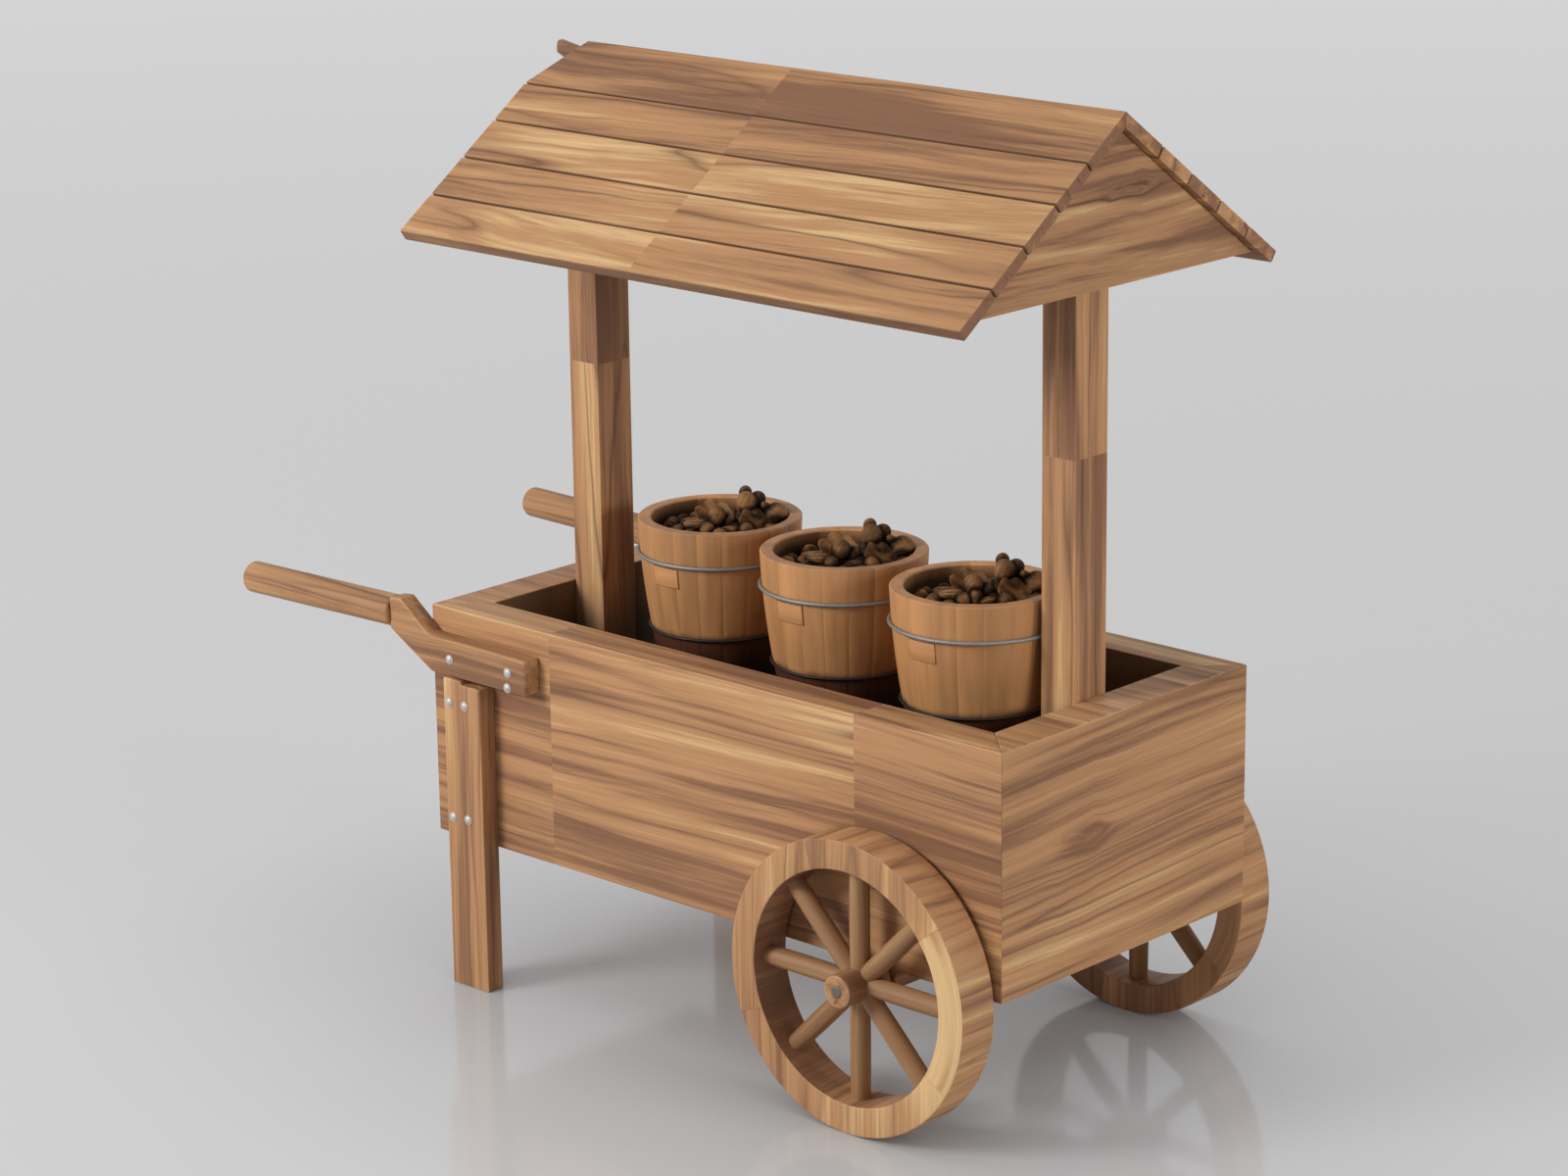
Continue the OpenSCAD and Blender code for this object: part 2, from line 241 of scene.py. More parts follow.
class Nodes:
    """A node tree that is filled by expressions."""

    def __init__(self, tree):
        self.tree = tree

    def add(self, kind, settings, *inputs, **named):
        node = self.tree.nodes.new(kind)
        for key, value in settings.items():
            setattr(node, key, value)
        for socket, value in zip([s for s in node.inputs if s.enabled], inputs):
            self.feed(socket, value)
        for key, value in named.items():
            name = key.replace("_", " ")
            self.feed(next(s for s in node.inputs if s.name == name and s.enabled), value)
        return Value(self, next((s for s in node.outputs if s.enabled), None))

    def feed(self, socket, value):
        if isinstance(value, Value):
            self.tree.links.new(value.socket, socket)
            return
        wanted = len(socket.default_value) if hasattr(socket.default_value, "__len__") else 0
        if wanted and not hasattr(value, "__len__"):
            value = (value,) * wanted
        elif wanted == 4 and len(value) == 3:
            value = (*value, 1)
        socket.default_value = value

    def vector(self, x, y, z):
        return self.add("ShaderNodeCombineXYZ", {}, x, y, z)


class Finish(Nodes):
    """A material that is written as expressions."""

    def __init__(self, name):
        self.material = bpy.data.materials.new(name)
        self.material.use_nodes = True
        super().__init__(self.material.node_tree)
        self.tree.nodes.clear()

    def attribute(self, name, output):
        return self.add("ShaderNodeAttribute", {"attribute_name": name}).out(output)

    def place(self):
        return self.add("ShaderNodeTexCoord", {}).out("Object")

    def noise(self, vector, detail=2, roughness=0.5, scale=1, distortion=0):
        return self.add(
            "ShaderNodeTexNoise", {}, Vector=vector, Scale=scale, Detail=detail, Roughness=roughness,
            Distortion=distortion)

    def mix(self, factor, first, second, blend="MIX"):
        return self.add(
            "ShaderNodeMix", {"data_type": "RGBA", "blend_type": blend, "clamp_factor": True},
            factor, first, second)

    def grey(self, value):
        """A number as a colour, for multiplying a colour by it."""
        return self.add("ShaderNodeCombineColor", {}, value, value, value)

    def bump(self, height, strength, distance):
        return self.add("ShaderNodeBump", {}, Strength=strength, Distance=distance, Height=height)

    def surface(self, **sockets):
        shader = self.add("ShaderNodeBsdfPrincipled", {}, **sockets)
        self.add("ShaderNodeOutputMaterial", {}, Surface=shader)
        return self.material


# ---------------------------------------------------------------- materials

def wood(
        name, pale, tan, brown, line, stain, contrast=1.0, streak=1.0, rough=0.5, fine=1.0, short=1.0,
        wave=1.0):
    """Oiled boards: mauve-brown and pale streaks, wavy figure and thin dark lines that run with the grain.

    Contrast is that of the streaks and streak that of the dark lines, fine narrows and short shortens
    the figure, and wave bends it. Each noise is stretched along the grain, which is the vector's first
    part, and has as many features to the metre as its factors say. A stain up to 1 mixes in
    the stain colour and from 1 to 2 turns near black: it holds the dark stain inside the tray, and
    painted shade that deepens down the tray walls and the feet of the posts."""
    made = Finish(name)
    grain = made.attribute("grain", "Vector") * (short, 1, 1)
    tone = made.attribute("tone", "Fac")
    worn = made.attribute("worn", "Fac")
    sway = made.noise(grain * (1.1, 3.2, 3.2), detail=1) - 0.5
    curl = made.noise(grain * (4.2, 17, 17), detail=1) - 0.5
    bent = grain + made.vector(0, (sway * 0.06 + curl * 0.012) * wave, sway * (0.04 * wave))
    streaks = made.noise(bent * (0.7, 24 * fine, 24 * fine), detail=7, roughness=0.66) - 0.5
    broad = made.noise(bent * (0.9, 7 * fine, 7 * fine), detail=1) - 0.5
    hair = made.noise(grain * (9, 480, 480), detail=2, roughness=0.6) - 0.5
    fibre = made.noise(bent * (1.5, 150, 150), detail=3, roughness=0.6) - 0.5
    level = streaks * (5 * contrast) + broad * (2.2 * contrast) + fibre * 0.8 + tone * 0.5
    body = made.mix(level.step(-0.95, 0.15), brown, tan)
    body = made.mix(level.step(0.15, 1.1) * 0.9, body, pale)
    figure = made.noise(bent * (0.36, 8 * fine, 8 * fine), detail=2, roughness=0.4)
    ring = (figure * 12).pingpong()
    patch = made.noise(bent * (0.9, 10, 10), detail=1).step(0.38, 0.62) * streak
    late = ring ** 5 * patch
    body = made.mix((late * 0.75).clamped(), body, shaded(brown, 0.9))
    body = made.mix((ring ** 16 * patch * 0.35).clamped(), body, line)
    thin = made.noise(bent * (0.9, 76 * fine, 76 * fine), detail=2, roughness=0.55)
    body = made.mix(thin.step(0.57, 0.78) * level.step(0.9, -0.6) * (0.6 * streak), body, line)
    body = made.mix(1.0, body, made.grey(hair * 0.3 + fibre * 0.25 + 1 + worn * 0.12), "MULTIPLY")
    # Stain, and painted shade that turns near black deep in the tray and at the feet of the posts
    darkened = made.attribute("stain", "Fac")
    body = made.mix((darkened * (1 - streaks)).clamped() * 0.93, body, stain)
    body = made.mix(darkened.step(1.0, 2.0) * 0.9, body, shaded(stain, 0.1))
    height = hair * 0.7 - late * 0.3 - thin * 0.35
    gloss = (streaks * -0.25 + hair * 0.25 + rough).clamped()
    return made.surface(
        Base_Color=body, Roughness=gloss, Specular_IOR_Level=0.3, Normal=made.bump(height, 0.28, 0.0012))


def stave_wood(name, main, stain):
    """Smooth staves with a soft change of tone from stave to stave, a red-brown band at the foot that
    painted shade takes to near black at the bottom, and painted shade inside.
    """
    made = Finish(name)
    grain = made.attribute("grain", "Vector")
    tone = made.attribute("tone", "Fac")
    darkened = made.attribute("stain", "Fac")
    inner_shade = made.attribute("worn", "Fac")
    sway = made.noise(grain * (2.5, 9, 9), detail=2) - 0.5
    soft = made.noise(grain * (1.6, 34, 34) + made.vector(0, sway * 0.8, 0), detail=2) - 0.5
    hair = made.noise(grain * (14, 620, 620), detail=2, roughness=0.6) - 0.5
    level = tone * 0.13 + soft * 0.75 + hair * 0.12 + 1
    body = made.mix(1, main, made.grey(level), "MULTIPLY")
    # A red-brown band below the lower hoop, and painted shade that takes it near black towards the foot
    reach = darkened + (made.noise(grain * (9, 12, 12), detail=3) - 0.5) * 0.4
    body = made.mix(reach.step(0.1, 0.5), body, stain)
    body = made.mix(reach.step(0.5, 1.1), body, shaded(stain, 0.12))
    # Painted shade on the inner wall, deepening down from the rim
    body = made.mix(inner_shade, body, shaded(main, 0.05))
    return made.surface(
        Base_Color=body, Roughness=(hair * 0.25 + 0.5).clamped(),
        Normal=made.bump(hair * 0.6 + soft * 0.5, 0.2, 0.001))


def metal(name, main, rough, metallic=1.0):
    """Drawn and galvanised steel with a faint mottle, and dark brown where its stain attribute is set."""
    darkening = (0.022, 0.013, 0.009)
    made = Finish(name)
    place = made.place()
    mottle = made.noise(place, scale=70, detail=4, roughness=0.6) - 0.5
    spangle = made.noise(place, scale=420, detail=2) - 0.5
    body = made.mix((mottle * 1.6 + 0.5).clamped(), shaded(main, 0.72), main)
    body = made.mix(made.attribute("stain", "Fac") * 0.94, body, darkening)
    return made.surface(
        Base_Color=body, Metallic=metallic, Roughness=(mottle * 0.5 + spangle * 0.2 + rough).clamped(),
        Normal=made.bump(spangle, 0.12, 0.0005))


def shell(name, main):
    """Nut shells: a tone for each nut, darker hollows with painted shade in the creases and on the bed, fine
    fibres and a dull sheen.
    """
    made = Finish(name)
    place = made.place()
    tone = made.attribute("tone", "Fac")
    ridge = made.attribute("ridge", "Fac")
    cloud = made.noise(place, scale=55, detail=3, roughness=0.6) - 0.5
    pit = made.noise(place, scale=340, detail=3, roughness=0.65) - 0.5
    # The ridge attribute holds the relief of the shells, and painted shade in the creases between nuts and
    # on the bed
    level = tone * 0.13 + cloud * 0.75 + pit * 0.3 + ridge * 0.4
    body = made.mix((level * 1.2 + 0.5).clamped(), shaded(main, 0.11), main)
    body = made.mix((level - 0.05).step(0.0, 0.65) * 0.7, body, shaded(main, 2.3))
    return made.surface(
        Base_Color=body, Roughness=(pit * 0.4 + 0.52).clamped(), Specular_IOR_Level=0.15,
        Normal=made.bump(pit + cloud * 0.5, 0.35, 0.0012))


def finishes():
    """All the finishes of the cart, made once."""
    if "Box boards" in bpy.data.materials:
        return bpy.data.materials
    chosen = bpy.context.scene.cart_colours
    pale, tan, brown, line, tray, steel = (
        tuple(getattr(chosen, name)) for name in ("pale", "tan", "brown", "line", "tray", "steel"))

    def boards(name, shade=1.0, **settings):
        wood(name, *(shaded(tone, shade) for tone in (pale, tan, brown)), line, tray, **settings)

    boards("Box boards", contrast=0.9, fine=1.15, wave=0.5)
    boards("End boards", contrast=0.85, fine=1.15, wave=1.1)
    boards("Roof boards", fine=0.75, short=1.2, contrast=0.9, streak=1.2)
    boards("Post timber", fine=0.9, contrast=0.8)
    boards("Gable boards", 0.88, fine=0.65, short=1.2, contrast=1.3, streak=1.4)
    boards("Handle timber", 0.92, contrast=1.0, streak=1.3)
    boards("Wheel timber", contrast=0.7, streak=0.8)
    boards("Spoke timber", 0.66, contrast=0.6, streak=0.7)
    wood("Tray boards", shaded(tray, 1.6), tray, shaded(tray, 0.6), line, tray, rough=0.6)
    stave_wood("Bucket staves", tuple(chosen.bucket), tuple(chosen.stain))
    metal("Bright steel", shaded(steel, 0.75), 0.6, 0.6)
    metal("Bolt steel", shaded(steel, 1.5), 0.5, 0.4)
    metal("Axle steel", tuple(v * part for v, part in zip(steel, (0.5, 0.44, 0.38))), 0.6, 0.7)
    shell("Nut shells", tuple(chosen.nut))
    return bpy.data.materials


# ---------------------------------------------------------------- solids in mesh code

def skin(solid, one, two):
    """Faces between two loops of as many points."""
    for i in range(len(one)):
        j = (i + 1) % len(one)
        solid.faces.new((one[i], two[i], two[j], one[j]))


def solid_mesh(solid, name, *materials):
    """A mesh of a solid, which is used up."""
    mesh = bpy.data.meshes.new(name)
    solid.to_mesh(mesh)
    solid.free()
    for material in materials:
        mesh.materials.append(finishes()[material])
    return mesh


def in_scene(name, data):
    made = bpy.data.objects.new(name, data)
    bpy.context.scene.collection.objects.link(made)
    return made


def prism(outline, across, low, high):
    """The outline, run from low to high along the axis that it lies across."""
    solid = bmesh.new()
    order = {
        "x": lambda a, b, t: (t, a, b), "y": lambda a, b, t: (a, t, b), "z": lambda a, b, t: (a, b, t)}
    ends = [[solid.verts.new(order[across](a, b, t)) for a, b in outline] for t in (low, high)]
    solid.faces.new(ends[0])
    solid.faces.new(reversed(ends[1]))
    skin(solid, *ends)
    bmesh.ops.recalc_face_normals(solid, faces=solid.faces)
    return solid


def rounded(solid, by, segments=2, butt=()):
    """Rounds the edges, but not round a butted end, which is a pair of an axis and a place on it."""
    touch = 1e-5

    def butted(edge):
        return any(all(abs(v.co[axis] - place) < touch for v in edge.verts) for axis, place in butt)

    layer = solid.faces.layers.int.new("rounding")
    edges = [edge for edge in solid.edges if not butted(edge)]
    made = bmesh.ops.bevel(
        solid, geom=edges, offset=by, offset_type="OFFSET", segments=segments, profile=0.5,
        affect="EDGES", clamp_overlap=True)
    for face in made["faces"]:
        face[layer] = 1
    return solid


def lofted(rings, closed=False):
    """A closed solid through rings of points, which all have as many points."""
    solid = bmesh.new()
    loops = [[solid.verts.new(point) for point in ring] for ring in rings]
    for one, two in zip(loops, loops[1:] + (loops[:1] if closed else [])):
        skin(solid, one, two)
    if not closed:
        solid.faces.new(reversed(loops[0]))
        solid.faces.new(loops[-1])
    bmesh.ops.recalc_face_normals(solid, faces=solid.faces)
    return solid


def turned(profile, foot, along, steps=48):
    """A body of revolution: the profile gives distances along the axis and radii, without the poles."""
    along = along.normalized()
    side = along.orthogonal().normalized()
    other = along.cross(side)
    rings = []
    for distance, radius in profile:
        centre = foot + along * distance
        rings.append([
            centre + (side * math.cos(t) + other * math.sin(t)) * radius
            for t in (math.tau * i / steps for i in range(steps))])
    return lofted(rings)


def round_corner(centre, radius, start, stop, segments=3):
    """Points of an arc in a profile, with the angles in degrees."""
    angles = [math.radians(start + (stop - start) * i / segments) for i in range(segments + 1)]
    return [(centre[0] + radius * math.cos(a), centre[1] + radius * math.sin(a)) for a in angles]


def box_outline(low, high, edge=0.0):
    """A rectangle, with rounded corners if it has an edge."""
    (a, b), (c, d) = low, high
    if not edge:
        return [(a, b), (c, b), (c, d), (a, d)]
    corners = (
        (c - edge, b + edge), (c - edge, d - edge), (a + edge, d - edge), (a + edge, b + edge))
    return [
        point for turn, corner in enumerate(corners)
        for point in round_corner(corner, edge, 90 * turn - 90, 90 * turn)]


def own_figure(seed):
    """How far a board's grain is shifted, so that each seed gives a board its own figure."""
    chance = random.Random(seed)
    return [chance.uniform(-FIGURE_SPREAD, FIGURE_SPREAD) for _ in range(3)]


def straight(along, across, seed, lean=0.0):
    """A grain along a board, which may lean across it."""
    shift = own_figure(seed)
    through = along.cross(across)
    across = across - along * lean
    return lambda point, normal: (
        point.dot(along) + shift[0], point.dot(across) + shift[1], point.dot(through) + shift[2])


def knotted(grain, along, across, place, size, stretch=3.2):
    """Lets a grain flow round an uneven knot that is longer than its radius along the board."""
    def lay(point, normal):
        a, b, c = grain(point, normal)
        u, v = (point - place).dot(along), (point - place).dot(across)
        v += 0.012 * noise.noise(Vector((u * 22, v * 40, size * 900))) + 0.08 * u
        uneven = 1 + 0.5 * noise.noise(Vector((u * 14, v * 30, size * 500)))
        far = math.hypot(u / stretch, v) * uneven
        return (a, b - v * (size / far) ** 2 if far > size else b - v + (size - far) * 1.6, c)
    return lay


def scored(board, axis, places):
    """Cuts the faces of a board across an axis, so that its tone or grain can change there."""
    for place in places:
        bmesh.ops.bisect_plane(
            board, geom=[*board.verts, *board.edges, *board.faces], plane_co=axis * place, plane_no=axis)
    return board


def scored_round(board, knot, pitch, wide, tall):
    """Scores an upright board finely round a knot, where its grain bends."""
    scored(board, Y, [knot.y + 2 * pitch * i for i in range(-wide, wide + 1)])
    scored(board, Z, [knot.z + pitch * i for i in range(-tall, tall + 1)])


def between(stops, at):
    """The value at a place between stops, which are pairs of a place and a value."""
    for (a, one), (b, two) in zip(stops, stops[1:]):
        if at <= b:
            return one + (two - one) * max(0.0, at - a) / (b - a)
    return stops[-1][1]


def striped(board, axis, low, high, stops, beside=None):
    """Scores a board and gives its tone from stops, which are pairs of a share of its width and a tone.

    The faces that look along the axis take the tone beside, if there is one."""
    scored(board, axis, [low + (high - low) * share for share, _ in stops[1:-1]])

    def tone(point, normal):
        if beside is not None and abs(normal.dot(axis)) > SQUARE_ON:
            return beside
        return between(stops, (point.dot(axis) - low) / (high - low))
    return tone


class Joinery:
    """Boards that are gathered into one mesh. Each keeps its own grain, tone, and stain and painted shade.
    """

    SHARP = math.radians(32)

    def __init__(self):
        self.points, self.faces, self.smooth = [], [], []
        self.grain, self.tone, self.stain, self.worn = [], [], [], []

    def add(self, solid, grain, tone=0.0, smooth=False, stain=0.0):
        """Adds a solid. The tone and the stain, which holds real stains and painted shade, are numbers,
        or functions of a point and its normal.

        The faces that round its edges are marked as worn."""
        start = len(self.points)
        solid.verts.index_update()
        solid.normal_update()
        rounding = solid.faces.layers.int.get("rounding")
        self.points += [vert.co.copy() for vert in solid.verts]
        for face in solid.faces:
            self.faces.append([start + vert.index for vert in face.verts])
            self.smooth.append(smooth)
            for vert in face.verts:
                self.grain += grain(vert.co, face.normal)
                self.tone.append(tone(vert.co, face.normal) if callable(tone) else tone)
                self.stain.append(stain(vert.co, face.normal) if callable(stain) else stain)
                self.worn.append(1.0 if rounding and face[rounding] else 0.0)
        solid.free()
        return self

    def mesh(self, name, material):
        mesh = bpy.data.meshes.new(name)
        mesh.from_pydata(self.points, [], self.faces)
        for key, kind, values in (
                ("grain", "FLOAT_VECTOR", self.grain), ("tone", "FLOAT", self.tone),
                ("stain", "FLOAT", self.stain), ("worn", "FLOAT", self.worn)):
            layer = mesh.attributes.new(key, kind, "CORNER")
            layer.data.foreach_set("vector" if kind == "FLOAT_VECTOR" else "value", values)
        mesh.polygons.foreach_set("use_smooth", self.smooth)
        if any(self.smooth):
            mesh.set_sharp_from_angle(angle=self.SHARP)
        mesh.materials.append(finishes()[material])
        return mesh

    def piece(self, name, body, slot, material, *nodes):
        return show(self.mesh(name, material), name, body, slot, *nodes)


def show(mesh, name, body, slot, *nodes):
    """Puts a mesh in the scene as a piece that rides on a body and stands for CAD nodes."""
    made = in_scene(name, mesh)
    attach(made, body)
    if nodes:
        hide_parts(*nodes)
    return made


# ---------------------------------------------------------------- growth by rule

class Growth(Nodes):
    """A Geometry Nodes tree with named inputs, which is run on a mesh and gives a plain mesh."""

    KINDS = {float: "NodeSocketFloat", int: "NodeSocketInt", "object": "NodeSocketObject",
             "material": "NodeSocketMaterial"}

    def __init__(self, name, **inputs):
        super().__init__(bpy.data.node_groups.new(name, "GeometryNodeTree"))
        sockets = self.tree.interface
        sockets.new_socket("Geometry", in_out="INPUT", socket_type="NodeSocketGeometry")
        for key, kind in {**inputs, "Finish": "material"}.items():
            sockets.new_socket(key, in_out="INPUT", socket_type=self.KINDS[kind])
        sockets.new_socket("Geometry", in_out="OUTPUT", socket_type="NodeSocketGeometry")
        self.given = self.tree.nodes.new("NodeGroupInput")
        self.end = self.tree.nodes.new("NodeGroupOutput")

    def ask(self, name):
        return Value(self, self.given.outputs[name])

    def named(self, name, kind="FLOAT"):
        return self.add("GeometryNodeInputNamedAttribute", {"data_type": kind}, name)

    def store(self, geometry, name, value, kind="FLOAT", domain="POINT"):
        return self.add(
            "GeometryNodeStoreNamedAttribute", {"data_type": kind, "domain": domain},
            Geometry=geometry, Name=name, Value=value)

    def smooth(self, geometry):
        return self.add("GeometryNodeSetShadeSmooth", {}, Geometry=geometry, Shade_Smooth=True)

    def join(self, *parts):
        """Joins parts, of which the last one given comes first."""
        joined = self.add("GeometryNodeJoinGeometry", {})
        for part in parts:
            self.tree.links.new(part.socket, joined.socket.node.inputs[0])
        return joined

    def copies(self, points, copy, **named):
        return self.add("GeometryNodeInstanceOnPoints", {}, Points=points, Instance=copy, **named)

    def ring(self, copy, axis, **named):
        """Copies, as many as Count says, that are turned evenly about an axis."""
        count = self.ask("Count")
        turn = self.add("GeometryNodeInputIndex", {}) * (math.tau / count)
        points = self.add("GeometryNodePoints", {}, Count=count)
        turns = self.vector(*(turn if part else 0 for part in axis))
        return self.copies(points, copy, Rotation=turns, **named)

    def chance(self, low, high, seed, kind="FLOAT"):
        """A random number or vector for each copy."""
        return self.add("FunctionNodeRandomValue", {"data_type": kind}, low, high, Seed=seed)

    def vary(self, copies, spread, seed):
        """Gives each copy its own tone and its own place in the grain."""
        copies = self.store(copies, "tone", self.chance(spread * -1, spread, seed), domain="INSTANCE")
        low, high = (-FIGURE_SPREAD,) * 3, (FIGURE_SPREAD,) * 3
        shift = self.chance(low, high, seed + 1, "FLOAT_VECTOR")
        return self.store(copies, "shift", shift, "FLOAT_VECTOR", "INSTANCE")

    def close(self, geometry, shifted=False):
        """Ends the tree in real geometry with its finish."""
        geometry = self.add("GeometryNodeRealizeInstances", {}, geometry)
        if shifted:
            grain = self.named("grain", "FLOAT_VECTOR") + self.named("shift", "FLOAT_VECTOR")
            geometry = self.store(geometry, "grain", grain, "FLOAT_VECTOR")
        finish = self.ask("Finish")
        geometry = self.add("GeometryNodeSetMaterial", {}, Geometry=geometry, Material=finish)
        self.feed(self.end.inputs["Geometry"], geometry)

    def run(self, mesh, material, **values):
        """The plain mesh that the tree grows on a mesh."""
        holder = in_scene(self.tree.name, mesh)
        modifier = holder.modifiers.new(self.tree.name, "NODES")
        modifier.node_group = self.tree
        values["Finish"] = finishes()[material]
        for item in self.tree.interface.items_tree:
            if item.in_out == "INPUT" and item.name in values:
                modifier[item.identifier] = values[item.name]
        depsgraph = bpy.context.evaluated_depsgraph_get()
        made = bpy.data.meshes.new_from_object(holder.evaluated_get(depsgraph))
        holder.modifiers.remove(modifier)
        bpy.data.objects.remove(holder)
        return made


def spread_of(mesh, name, kind, values):
    """Stores a value for each point of a mesh."""
    layer = mesh.attributes.new(name, kind, "POINT")
    layer.data.foreach_set("vector" if kind == "FLOAT_VECTOR" else "value", values)


def spoke_tree():
    """Spokes round a hub: round bars, slightly thinner at their ends, that turn about Y."""
    tree = Growth(
        "Spokes round a hub", Count=int, Inner=float, Outer=float, Radius=float, Swell=float, Seed=int)
    line = tree.add(
        "GeometryNodeCurvePrimitiveLine", {}, Start=tree.vector(0, 0, tree.ask("Inner")),
        End=tree.vector(0, 0, tree.ask("Outer")))
    line = tree.add("GeometryNodeResampleCurve", {}, Curve=line, Count=9)
    along = tree.add("GeometryNodeSplineParameter", {}) * 2 - 1
    width = tree.ask("Radius") * (1 - along * along * tree.ask("Swell"))
    ring = tree.add("GeometryNodeCurvePrimitiveCircle", {}, Resolution=28, Radius=1.0)
    bar = tree.add(
        "GeometryNodeCurveToMesh", {}, Curve=line, Profile_Curve=ring, Scale=width, Fill_Caps=True)
    place = tree.add("ShaderNodeSeparateXYZ", {}, tree.add("GeometryNodeInputPosition", {}))
    grain = tree.vector(place.out("Z"), place.out("X"), place.out("Y"))
    bar = tree.store(tree.smooth(bar), "grain", grain, "FLOAT_VECTOR")
    tree.close(tree.vary(tree.ring(bar, Y), 0.35, tree.ask("Seed")), shifted=True)
    return tree


def stave_tree():
    """Staves round a bucket: copies of one stave, each a hair in or out and with its own tone."""
    tree = Growth("Staves round a bucket", Count=int, Unevenness=float, Seed=int)
    swell = tree.chance(1 - tree.ask("Unevenness"), 1, tree.ask("Seed") + 5)
    copies = tree.ring(tree.ask("Geometry"), Z, Scale=tree.vector(swell, swell, 1))
    tree.close(tree.vary(copies, 1.0, tree.ask("Seed")), shifted=True)
    return tree


def nut_tree():
    """Nuts at points: each point says which form it takes, how it is turned, its size and its tone."""
    tree = Growth("Nuts at points", Round="object", Long="object", Wrinkled="object", Husk="object")
    forms = tree.join(*(
        tree.add("GeometryNodeObjectInfo", {}, Object=tree.ask(form), As_Instance=True).out("Geometry")
        for form in ("Husk", "Wrinkled", "Long", "Round")))
    tree.close(tree.copies(
        tree.ask("Geometry"), forms, Pick_Instance=True, Instance_Index=tree.named("form", "INT"),
        Rotation=tree.named("turn", "FLOAT_VECTOR"), Scale=tree.named("size", "FLOAT_VECTOR")))
    return tree


def bolt_tree():
    """Bolt heads at points: a domed head on a thin washer, turned to face outwards."""
    tree = Growth("Bolt heads at points", Head=float, Height=float, Washer=float, Thickness=float)
    washer = tree.add(
        "GeometryNodeMeshCylinder", {}, Vertices=28, Radius=tree.ask("Washer") * 0.5,
        Depth=tree.ask("Thickness") * 2)
    dome = tree.add("GeometryNodeMeshUVSphere", {}, Segments=28, Rings=14, Radius=tree.ask("Head") * 0.5)
    dome = tree.add(
        "GeometryNodeTransform", {}, Geometry=dome,
        Scale=tree.vector(1, 1, tree.ask("Height") * 2 / tree.ask("Head")))
    head = tree.join(washer, tree.smooth(dome))
    tree.close(tree.copies(
        tree.ask("Geometry"), head, Rotation=tree.named("turn", "FLOAT_VECTOR")))
    return tree


# ---------------------------------------------------------------- operators

